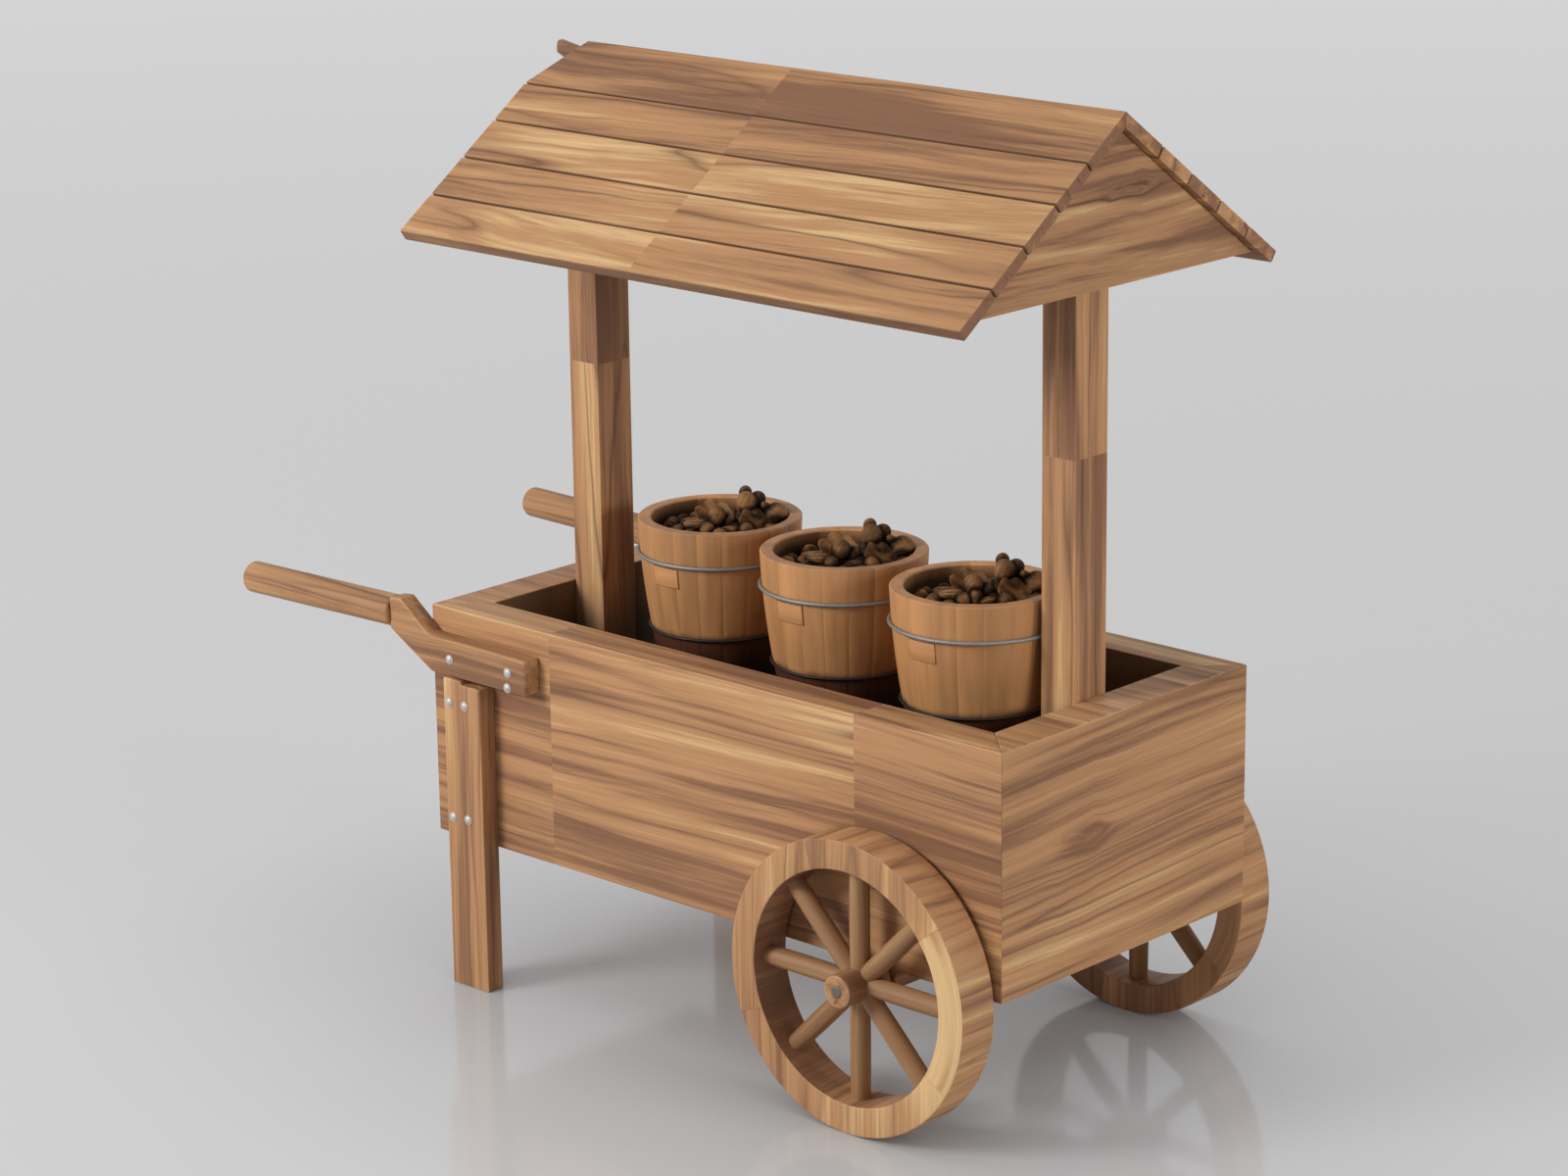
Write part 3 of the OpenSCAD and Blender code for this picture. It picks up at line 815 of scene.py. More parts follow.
class CART_OT_box(bpy.types.Operator):
    """Build the mitred walls of the box, the boards of the tray floor and the base"""
    bl_idname = "nut_cart.box"
    bl_label = "Box"

    # For the three lengths of a side wall, from its rear end: stops of tone from its top down, tones of
    # its top faces and how far its grain leans
    BANDS = (
        ((0, 0.8), (0.1, 0.9), (0.16, 0.2), (0.28, -0.4), (0.4, -0.7), (0.7, -0.6), (0.85, -0.8),
         (1, -0.9)),
        ((0, 0.35), (0.04, 0.2), (0.13, 0.1), (0.3, -0.3), (0.6, -0.1), (0.74, -0.2), (0.78, -1.0),
         (0.86, -0.9), (0.92, -0.3), (1, -0.3)),
        ((0, -0.1), (0.1, -0.5), (0.4, -0.6), (0.75, -0.4), (1, -0.2)))
    TOPS = (0.5, -0.45, 0.1)
    LEANS = (0.0, 0.02, -0.03)
    # The knot of an end wall: its place as shares of the width and the height, its radius and how long
    # it is for that, and how far the dark wood about it reaches across and up
    KNOT = (0.33, 0.54)
    KNOT_RADIUS, KNOT_STRETCH = 0.015, 5
    KNOT_SHADE = (0.12, 0.05)

    def wedge(self, board, tone, from_x, to_x, top, tall):
        """Adds a pale streak that sinks and widens towards the front, with a brown one under it."""
        scored(board, X, [from_x + (to_x - from_x) * i / 12 for i in range(1, 12)])
        scored(board, Z, [top - tall * 0.015 * i for i in range(1, 20)])

        def streaked(point, normal):
            u, v = (point.x - from_x) / (to_x - from_x), (top - point.z) / tall
            middle, half = 0.02 + 0.055 * u, 0.025 + 0.035 * u
            off = (v - middle) / half
            if normal.z > SQUARE_ON or not -1 <= off <= 3:
                return tone(point, normal)
            return tone(point, normal) + (1 - abs(off) if off < 1 else -0.9 * (1 - abs(off - 2)))
        return streaked

    def end_tone(self, knot, low, high):
        """Pale on top, and darker upwards and about the knot on the other faces."""
        across, up = self.KNOT_SHADE

        def tone(point, normal):
            far = math.hypot((point.y - knot.y) / across, (point.z - knot.z) / up)
            dark = 1.7 * max(0.0, 1 - far ** 2) ** 1.5
            return 0.3 if normal.z > SQUARE_ON else -0.1 - dark - 0.6 * (point.z - low.z) / (high.z - low.z)
        return tone

    def execute(self, context):
        timber = context.scene.cart_timber
        floor_low, floor_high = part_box("tray_floor")
        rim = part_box("right_side_wall")[1].z
        drop = rim - floor_high.z

        def facing(inward):
            """The dark stain of a wall's face that looks into the tray, with painted shade that deepens on
            the way down.
            """
            return lambda point, normal: 1 + (rim - point.z) / drop if normal.dot(inward) > 0.9 else 0.0

        for side, sign in SIDES.items():
            low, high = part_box(f"{side}_side_wall")
            outer, inner = (low.y, high.y) if sign < 0 else (high.y, low.y)
            span = high.x - low.x
            cuts = [low.x + span * timber.rear_joint, low.x + span * timber.front_joint]
            walls = Joinery()
            for i, (from_x, to_x) in enumerate(zip([low.x, *cuts], [*cuts, high.x])):
                inner_from = floor_low.x if i == 0 else from_x
                inner_to = floor_high.x if i == 2 else to_x
                board = prism(
                    [(from_x, outer), (to_x, outer), (inner_to, inner), (inner_from, inner)],
                    "z", low.z, high.z)
                rounded(board, timber.edge, butt=[(0, cut) for cut in cuts])
                tone = striped(board, Z, high.z, low.z, self.BANDS[i], self.TOPS[i])
                if i == 1:
                    tone = self.wedge(board, tone, from_x, to_x, high.z, high.z - low.z)
                grain = straight(X, Z, f"{side} wall {i} 4", self.LEANS[i])
                walls.add(board, grain, tone, stain=facing(Y * -sign))
            walls.piece(f"{side}_wall_boards", "cart", "box_wood", "Box boards", f"{side}_side_wall")
        for end, sign in ENDS.items():
            low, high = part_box(f"{end}_end_wall")
            outer, inner = (high.x, floor_high.x) if sign > 0 else (low.x, floor_low.x)
            board = prism(
                [(outer, low.y), (outer, high.y), (inner, floor_high.y), (inner, floor_low.y)],
                "z", low.z, high.z)
            rounded(board, timber.edge)
            across, up = self.KNOT
            knot = Vector((outer, low.y + (high.y - low.y) * across, low.z + (high.z - low.z) * up))
            scored_round(board, knot, 0.007, 9, 8)
            lengthwise = knotted(
                straight(Y, Z, f"{end} wall 3", 0.03), Y, Z, knot, self.KNOT_RADIUS, self.KNOT_STRETCH)
            crosswise = straight(X, Y, f"{end} wall top")
            wall = Joinery().add(
                board,
                lambda point, normal: (crosswise if normal.z > SQUARE_ON else lengthwise)(point, normal),
                self.end_tone(knot, low, high), stain=facing(X * -sign))
            wall.piece(f"{end}_wall_board", "cart", "box_wood", "End boards", f"{end}_end_wall")
        for node, material in (("tray_floor", "Tray boards"), ("base", "Box boards")):
            low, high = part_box(node)
            count = round((high.y - low.y) / timber.floor_width)
            width = (high.y - low.y - (count - 1) * timber.floor_gap) / count
            boards = Joinery()
            for i in range(count):
                from_y = low.y + i * (width + timber.floor_gap)
                board = prism(
                    box_outline((low.x, from_y), (high.x, from_y + width)), "z", low.z, high.z)
                boards.add(rounded(board, 0.002), straight(X, Y, f"{node} {i}"), 0.25 * math.sin(3.1 * i))
            boards.piece(f"{node}_boards", "cart", "floor_wood", material, node)
        return {"FINISHED"}


class CART_OT_posts(bpy.types.Operator):
    """Build the two posts, each of two lengths, with tops cut to the slopes of the roof"""
    bl_idname = "nut_cart.posts"
    bl_label = "Posts"

    # Stops of tone across each length of each post, and the tone of its faces at the sides. The upper
    # lengths are darker partly as painted shade under the roof, and the rear post's upper sides darkest as
    # painted shade of the front post and the roof.
    STRIPES = {
        ("front", "low"): (((0, -0.4), (0.3, 0.0), (0.42, 1.1), (0.6, 0.9), (0.72, 0.1), (1, -0.2)), -0.4),
        ("front", "top"): (((0, -0.5), (0.35, -0.6), (0.8, -0.4), (1, -0.5)), -0.1),
        ("rear", "low"): (((0, -0.3), (0.3, 0.2), (0.55, 1.2), (0.85, 0.9), (1, 0.8)), -0.5),
        ("rear", "top"): (((0, -1.4), (0.5, -1.0), (1, -1.1)), -1.6),
    }
    # Painted shade in the tray: how far below the rim a post goes dark, the depths at which it is scored for
    # that, and how dark
    FADE, FADE_CUTS, DARKEST = 0.13, (0.13, 0.06, 0.0), 1.6

    def execute(self, context):
        timber = context.scene.cart_timber
        slope = roof_frame()["slope"]
        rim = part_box("right_side_wall")[1].z
        for end in ENDS:
            low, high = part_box(f"{end}_post")
            joint = low.z + (high.z - low.z) * timber.post_joint
            eaves = high.z - (high.y - low.y) / 2 * slope
            lower = prism(box_outline((low.y, low.z), (high.y, joint)), "x", low.x, high.x)
            upper = prism(
                [(low.y, joint), (high.y, joint), (high.y, eaves), (0, high.z), (low.y, eaves)],
                "x", low.x, high.x)
            post = Joinery()
            for part, board in (("low", lower), ("top", upper)):
                rounded(board, timber.edge, butt=[(2, joint)])
                if part == "low":
                    scored(board, Z, [rim - depth for depth in self.FADE_CUTS])
                tone = striped(board, X, low.x, high.x, *self.STRIPES[end, part])
                # Below the rim the post darkens as painted shade in the tray
                post.add(
                    board, straight(Z, Y, f"{end} post {part} 3"), tone,
                    stain=lambda point, normal: min(self.DARKEST, max(0.0, (rim - point.z) / self.FADE)))
            post.piece(f"{end}_post_timber", "cart", "post_wood", "Post timber", f"{end}_post")
        return {"FINISHED"}


def roof_frame():
    """The right slope of the roof, measured on the CAD boards: its direction, thickness and ridge.

    A board's box is its width and thickness laid on the slope, so the two come from the box's sides."""
    two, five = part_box("right_roof_board_2"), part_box("right_roof_board_5")
    run, fall = two[0].y - five[0].y, two[0].z - five[0].z
    down = Vector((0, -run, -fall)).normalized()
    c, s = -down.y, -down.z
    across, tall = five[1].y - five[0].y, five[1].z - five[0].z
    thickness = (tall * c - across * s) / (c * c - s * s)
    width = (across * c - tall * s) / (c * c - s * s)
    return {
        "down": down, "inward": Vector((0, s, -c)), "slope": s / c, "thickness": thickness,
        "width": width, "ridge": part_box("right_roof_board_1")[1].z}


class CART_OT_gables(bpy.types.Operator):
    """Build the gable panels. The rear one is let in round its post"""
    bl_idname = "nut_cart.gables"
    bl_label = "Gables"

    # Stops of tone up a panel, which darken towards the peak partly as painted shade under the roof, and the
    # tone of the rear panel's cheeks beside the post
    RISE = ((0, -0.4), (0.3, -0.8), (0.55, -0.6), (0.75, -1.3), (1, -1.5))
    CHEEK = -0.5
    # The knot of a panel: its place as shares of half the width and of the height, radius and stretch
    KNOT = (0.1, 0.6)
    KNOT_RADIUS, KNOT_STRETCH = 0.014, 5

    def execute(self, context):
        timber = context.scene.cart_timber
        slope = roof_frame()["slope"]
        for end in ENDS:
            low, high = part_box(f"{end}_gable")
            post_low, post_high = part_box(f"{end}_post")
            peak = low.z + high.y * slope
            across, up = self.KNOT
            knot = Vector((low.x, high.y * across, low.z + (peak - low.z) * up))
            grain = knotted(
                straight(Y, Z, f"{end} gable 7"), Y, Z, knot, self.KNOT_RADIUS, self.KNOT_STRETCH)
            panel = Joinery()
            outer = (max(low.x, post_high.x), high.x) if end == "front" else (low.x, post_low.x)
            whole = [(low.y, low.z), (high.y, low.z), (0, peak)]
            board = rounded(prism(whole, "x", *outer), timber.edge)
            scored_round(board, knot, 0.006, 10, 7)
            panel.add(board, grain, striped(board, Z, low.z, peak, self.RISE))
            if end == "rear":
                beside = post_high.y
                shoulder = peak - beside * slope
                for sign in (-1, 1):
                    cheek = [
                        (sign * beside, low.z), (sign * high.y, low.z), (sign * beside, shoulder)]
                    panel.add(
                        rounded(prism(cheek, "x", post_low.x, high.x), timber.edge, butt=[(0, post_low.x)]),
                        grain, self.CHEEK)
            panel.piece(f"{end}_gable_panel", "cart", "gable_wood", "Gable boards", f"{end}_gable")
        return {"FINISHED"}


class CART_OT_roof(bpy.types.Operator):
    """Build the ten roof boards, each of two lengths, with the slanted cut at the right ridge board"""
    bl_idname = "nut_cart.roof"
    bl_label = "Roof"

    # Tones of the boards from the ridge down, in their rear and front lengths
    TONES = ((-1.0, -0.5, 0.5, -0.15, 0.6), (-0.9, 0.05, 0.35, 0.5, 0.4))
    # Stops of tone across the ridge boards, in their rear and front lengths
    RIDGE_STOPS = (
        ((0, 0.8), (0.2, 0.3), (0.4, -1.0), (1, -0.8)), ((0, 0.1), (0.3, -0.1), (0.5, -1.0), (1, -1.1)))
    # Tones of the ends and the undersides of the boards, from the ridge down
    END_TONES = {"right": (-2.0, -1.7, -2.3, -1.9, -1.5), "left": (-1.4, 0.7, -2.0, 0.5, -1.6)}
    # How far the grain leans across the boards, and the stain of their long edges
    LEANS = (0.0, -0.04, -0.05, -0.03, 0.02)
    EDGE_STAIN = 0.4
    # The worn tip of the left ridge board: distances from its rear end and how far its ridge lies lower
    EAR = (
        (0.0, 0.02), (0.002, 0.013), (0.005, 0.009), (0.009, 0.007), (0.012, 0.007), (0.03, 0.015),
        (0.047, 0.022), (0.054, 0.0235), (0.065, 0.0225), (0.09, 0.015), (0.12, 0.007), (0.16, 0.001))

    def ear(self, roof, low_x, width):
        """The worn rear length of the left ridge board, before it is laid on the slope."""
        down, inward, depth = roof["down"], roof["inward"], roof["thickness"]
        return lofted([
            [(low_x + along, *place) for place in (
                (drop / -down.z, 0), (width, 0), (width, depth), (depth * roof["slope"], depth),
                (-drop * down.z, -drop * inward.z))]
            for along, drop in self.EAR])

    def lay(self, board, roof, flip):
        """Lays a board, drawn as along, down and inwards, on the right slope or flipped on the left one."""
        ridge = Z * roof["ridge"]
        for vert in board.verts:
            place = vert.co.copy()
            vert.co = ridge + X * place.x + roof["down"] * place.y + roof["inward"] * place.z
        board.transform(flip)
        if flip.determinant() < 0:
            bmesh.ops.reverse_faces(board, faces=board.faces)

    def execute(self, context):
        timber = context.scene.cart_timber
        roof = roof_frame()
        depth = roof["thickness"]
        for side, sign in SIDES.items():
            flip = Matrix.Scale(-1, 4, Y) if sign > 0 else Matrix.Identity(4)
            down = flip.to_3x3() @ roof["down"]
            common_low, common_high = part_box(f"{side}_roof_board_2")
            joint = common_low.x + (common_high.x - common_low.x) * timber.roof_joint
            for i in range(5):
                node = f"{side}_roof_board_{i + 1}"
                low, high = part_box(node)
                at_ridge = i == 0
                start, width = (roof["ridge"] - high.z) / -roof["down"].z, roof["width"]
                outline = [(start, 0), (start + width, 0), (start + width, depth), (start, depth)]
                if at_ridge:
                    width = abs((low if sign < 0 else high).y) / -roof["down"].y
                    outline = [(0, 0), (width, 0), (width, depth), (depth * roof["slope"], depth)]
                ear_x = low.x + self.EAR[-1][0]
                lengths = [(0, low.x, joint), (1, joint, high.x)]
                if at_ridge and side == "left":
                    lengths[:1] = [(0, low.x, ear_x), (0, ear_x, joint)]
                pieces = Joinery()
                for part, from_x, to_x in lengths:
                    if to_x == ear_x:
                        board = self.ear(roof, low.x, width)
                    else:
                        board = prism(outline, "x", from_x, to_x)
                        if at_ridge and side == "right" and part == 0:
                            for vert in board.verts:
                                if vert.co.x < (low.x + joint) / 2:
                                    vert.co.x += timber.slant_cut * (1 - vert.co.y / width)
                        rounded(board, timber.edge, butt=[(0, joint), (0, ear_x)])
                    self.lay(board, roof, flip)
                    tone = self.TONES[part][i]
                    stops = self.RIDGE_STOPS[part] if at_ridge else ((0, tone), (1, tone))
                    top = Z.dot(down) * roof["ridge"] + outline[0][0]
                    across, at_end = striped(board, down, top, top + width, stops), self.END_TONES[side][i]
                    pieces.add(
                        board, straight(X, down, f"{node} {part} 1", self.LEANS[i]),
                        lambda point, normal: (
                            at_end if abs(normal.x) > 0.7 or normal.z < 0.1 else across(point, normal)),
                        stain=lambda point, normal: (
                            self.EDGE_STAIN if abs(normal.dot(down)) > 0.35 else 0.0))
                pieces.piece(f"{node}_timber", "cart", "roof_wood", "Roof boards", node)
        return {"FINISHED"}


class CART_OT_handles(bpy.types.Operator):
    """Build the handle bars, their round grips and the legs"""
    bl_idname = "nut_cart.handles"
    bl_label = "Handles and legs"

    # Tones of a bar's front end and of the rest of it, of each grip, with the far left grip darker as
    # painted shade, and how much paler a grip is on top as painted light
    BAR_END, BAR_TONE = 0.7, -0.35
    GRIP_TONES, GRIP_LIFT = {"right": 0.7, "left": -0.2}, 0.6
    # Stops of tone across a leg, and the tone of its faces at the sides
    LEG_STRIPES = ((0, -0.2), (0.18, 0.0), (0.3, -0.9), (0.5, -0.9), (0.66, 0.3), (0.9, 0.4), (1, 0.1))
    LEG_SIDES = -0.4

    def execute(self, context):
        timber = context.scene.cart_timber
        box_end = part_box("rear_end_wall")[0].x
        for side, sign in SIDES.items():
            low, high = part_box(f"{side}_handle_bar")
            grip_low, grip_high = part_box(f"{side}_grip")
            radius = (grip_high.z - grip_low.z) / 2
            axis_z = (grip_high.z + grip_low.z) / 2
            top = low.z + timber.bar_height
            outline = [
                (high.x, low.z), (high.x, top), (box_end + timber.bend_inset, top + timber.bar_swell),
                (low.x + timber.bar_end, axis_z + radius + timber.bar_swell), (low.x, axis_z + radius),
                (low.x, axis_z - radius), (box_end + timber.bend_inset + timber.bend_lead, low.z)]
            bar = Joinery().add(
                rounded(prism(outline, "y", low.y, high.y), 0.0045, 3), straight(X, Z, f"{side} bar 2"),
                lambda point, normal: self.BAR_END if normal.x > SQUARE_ON else self.BAR_TONE)
            bar.piece(f"{side}_bar_timber", "cart", "handle_wood", "Handle timber", f"{side}_handle_bar")

            lean = timber.grip_splay
            out = Vector((-math.cos(lean), sign * math.sin(lean), 0))
            foot = Vector((low.x, (low.y + high.y) / 2, axis_z))
            end = timber.grip_round
            reach = (low.x - grip_low.x - (radius - end) * math.sin(lean) - end) / math.cos(lean) + end
            profile = [(0, radius - 0.003), (0.003, radius)]
            profile += [(reach * part, radius) for part in (0.2, 0.4, 0.6, 0.8)]
            profile += round_corner((reach - end, radius - end), end, 90, 0, 5)
            # Painted light: a grip is paler on its upper side
            grip = Joinery().add(
                turned(profile, foot, out), straight(out, Z, f"{side} grip 1"),
                lambda point, normal: self.GRIP_TONES[side] + self.GRIP_LIFT * normal.z, smooth=True)
            grip.piece(f"{side}_grip_timber", "cart", "handle_wood", "Handle timber", f"{side}_grip")

            low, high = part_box(f"{side}_leg")
            half, step = (low.x + high.x) / 2, high.z - timber.leg_gap
            outline = [
                (low.x, low.z), (high.x, low.z), (high.x, step), (half, step), (half - 0.004, high.z),
                (low.x, high.z)]
            leg = rounded(prism(outline, "y", low.y, high.y), timber.edge)
            tone = striped(leg, X, low.x, high.x, self.LEG_STRIPES, self.LEG_SIDES)
            leg = Joinery().add(leg, straight(Z, X, f"{side} leg 7"), tone)
            leg.piece(f"{side}_leg_timber", "cart", "post_wood", "Post timber", f"{side}_leg")
        return {"FINISHED"}


class CART_OT_axle(bpy.types.Operator):
    """Build the steel axle and the two wooden blocks that hold it"""
    bl_idname = "nut_cart.axle"
    bl_label = "Axle"

    def execute(self, context):
        low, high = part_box("axle")
        radius = (high.z - low.z) / 2
        foot = Vector(((low.x + high.x) / 2, low.y, (low.z + high.z) / 2))
        long = high.y - low.y
        chamfer = [(0, radius - 0.0025), (0.001, radius - 0.001), (0.0025, radius)]
        profile = chamfer + [(long / 2, radius)] + [(long - far, r) for far, r in reversed(chamfer)]
        axle = Joinery().add(turned(profile, foot, Y, 40), straight(Y, Z, "axle"), smooth=True)
        axle.piece("axle_bar", "cart", "axle_steel", "Axle steel", "axle")
        for side in SIDES:
            low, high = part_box(f"{side}_axle_block")
            block = prism(box_outline((low.x, low.z), (high.x, high.z)), "y", low.y, high.y)
            block = Joinery().add(rounded(block, 0.004), straight(Y, X, f"{side} block"), -0.3)
            block.piece(
                f"{side}_block_timber", "cart", "floor_wood", "Handle timber", f"{side}_axle_block")
        return {"FINISHED"}


class CART_OT_wheels(bpy.types.Operator):
    """Build the wheels: felloes, spokes and hubs"""
    bl_idname = "nut_cart.wheels"
    bl_label = "Wheels"

    # Angles of the joints between the felloes, anticlockwise from the front end
    JOINTS = (37, 110, 203, 256, 329)
    # Stops of tone round the faces, by angle
    TONES = (
        (0, 2.7), (25, 2.3), (45, 1.0), (60, 0.0), (75, -0.5), (130, -0.3), (160, 0.1), (203, -0.5),
        (256, -0.2), (256.2, 0.6), (300, 1.0), (329, 2.2), (360, 2.7))
    # A rim's faces are where its normal has more than this share across the cart
    FACE = 0.6
    # Tones of the outer end of a hub and of its side
    HUB_END, HUB_SIDE = 0.2, -1.2

    def felloe(self, centre, inner, outer, from_y, to_y, start, stop, edge):
        """One length of the rim, between two angles in degrees."""
        outline = box_outline((inner, from_y), (outer, to_y), edge)
        steps = max(2, round((stop - start) / 2.5))
        rings = []
        for i in range(steps + 1):
            a = math.radians(start + (stop - start) * i / steps)
            rings.append([
                (centre.x + r * math.cos(a), y, centre.z + r * math.sin(a)) for r, y in outline])
        return lofted(rings)

    def grain(self, centre, seed, curved):
        """Grain across the tread and the inner face, and on the faces upright or along the curve."""
        shift = own_figure(seed)

        def lay(point, normal):
            arm = point - centre
            radius = math.hypot(arm.x, arm.z)
            turn = math.atan2(arm.z, arm.x) % math.tau
            if abs(normal.y) > self.FACE and curved:
                around = (turn + 1) % math.tau * radius
                return (around + shift[0], radius * 0.6 + shift[1], point.y + shift[2])
            if abs(normal.y) > self.FACE:
                return (arm.z + shift[0], arm.x + shift[1], point.y + shift[2])
            return (point.y * 1.6 + shift[0], turn * radius + shift[1], radius + shift[2])
        return lay

    def tone(self, centre, sign):
        """The outer face by its stops, the tread darker than it, and the inner face, which looks at the box,
        and the bore darker than it as painted shade.
        """
        def tone(point, normal):
            arm = point - centre
            turn = math.atan2(arm.z, arm.x)
            face = between(self.TONES, math.degrees(turn) % 360)
            # Painted shade on the inner face that looks at the box and on the bore
            if abs(normal.y) > self.FACE:
                return face if normal.y * sign > 0 else min(face, 1.5) - 1.9
            if arm.x * normal.x + arm.z * normal.z < 0:
                return face - 1.4
            return min(face, 0.8) * 0.4 - 0.4 + 2.2 * noise.noise(Vector((turn * 13, 0, 0)))
        return tone

    def execute(self, context):
        wheels = context.scene.cart_wheels
        spokes = spoke_tree()
        for side, sign in SIDES.items():
            body = f"{side}_wheel"
            low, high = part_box(f"{side}_wheel_rim")
            spoke_low, spoke_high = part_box(f"{side}_wheel_spokes")
            hub_low, hub_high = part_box(f"{side}_wheel_hub")
            centre = Vector(((low.x + high.x) / 2, 0, (low.z + high.z) / 2))
            outer = (high.x - low.x) / 2
            inner = (spoke_high.z - spoke_low.z) / 2
            rim = Joinery()
            half = math.degrees(wheels.joint / 2 / outer)
            for i, start in enumerate(self.JOINTS):
                stop = self.JOINTS[(i + 1) % len(self.JOINTS)]
                stop += 360 if stop < start else 0
                part = self.felloe(
                    centre, inner, outer, low.y, high.y, start + half, stop - half, wheels.edge)
                grain = self.grain(centre, f"felloe {i} 2", stop > 360)
                rim.add(part, grain, self.tone(centre, sign), smooth=True)
            rim.piece(f"{side}_rim_felloes", body, "wheel_wood", "Wheel timber", f"{side}_wheel_rim")

            hub_radius = (hub_high.z - hub_low.z) / 2
            mesh = spokes.run(
                bpy.data.meshes.new("empty"), "Spoke timber", Count=wheels.spokes, Inner=hub_radius * 0.8,
                Outer=inner + 0.004, Radius=(spoke_high.y - spoke_low.y) / 2, Swell=wheels.swell, Seed=3)
            middle = Vector((centre.x, (spoke_low.y + spoke_high.y) / 2, centre.z))
            mesh.transform(Matrix.Translation(middle))
            show(mesh, f"{side}_spoke_bars", body, "spoke_wood", f"{side}_wheel_spokes")

            inward, outward = (hub_high.y, hub_low.y) if sign < 0 else (hub_low.y, hub_high.y)
            along = Y * sign
            long = abs(outward - inward)
            edge = wheels.hub_edge
            profile = [(0, hub_radius - 0.002), (0.002, hub_radius)]
            profile += [(long * part, hub_radius) for part in (0.3, 0.6)]
            profile += round_corner((long - edge, hub_radius - edge), edge, 90, 0, 4)
            profile += [(long - 0.0005, hub_radius * 0.6)]
            foot = Vector((centre.x, inward, centre.z))
            hub = Joinery().add(
                turned(profile, foot, along), straight(along, Z, "hub 1"),
                lambda point, normal: self.HUB_END if abs(normal.y) > 0.7 else self.HUB_SIDE, smooth=True)
            hub.piece(f"{side}_hub_block", body, "wheel_wood", "Wheel timber", f"{side}_wheel_hub")
        return {"FINISHED"}


def bucket_radius(height, tall, rim):
    """Outer radius of a bucket at a height above its foot."""
    sizes = bpy.context.scene.cart_buckets
    u = height / tall
    return sizes.foot + (rim - sizes.foot) * u + 4 * sizes.bulge * u * (1 - u)


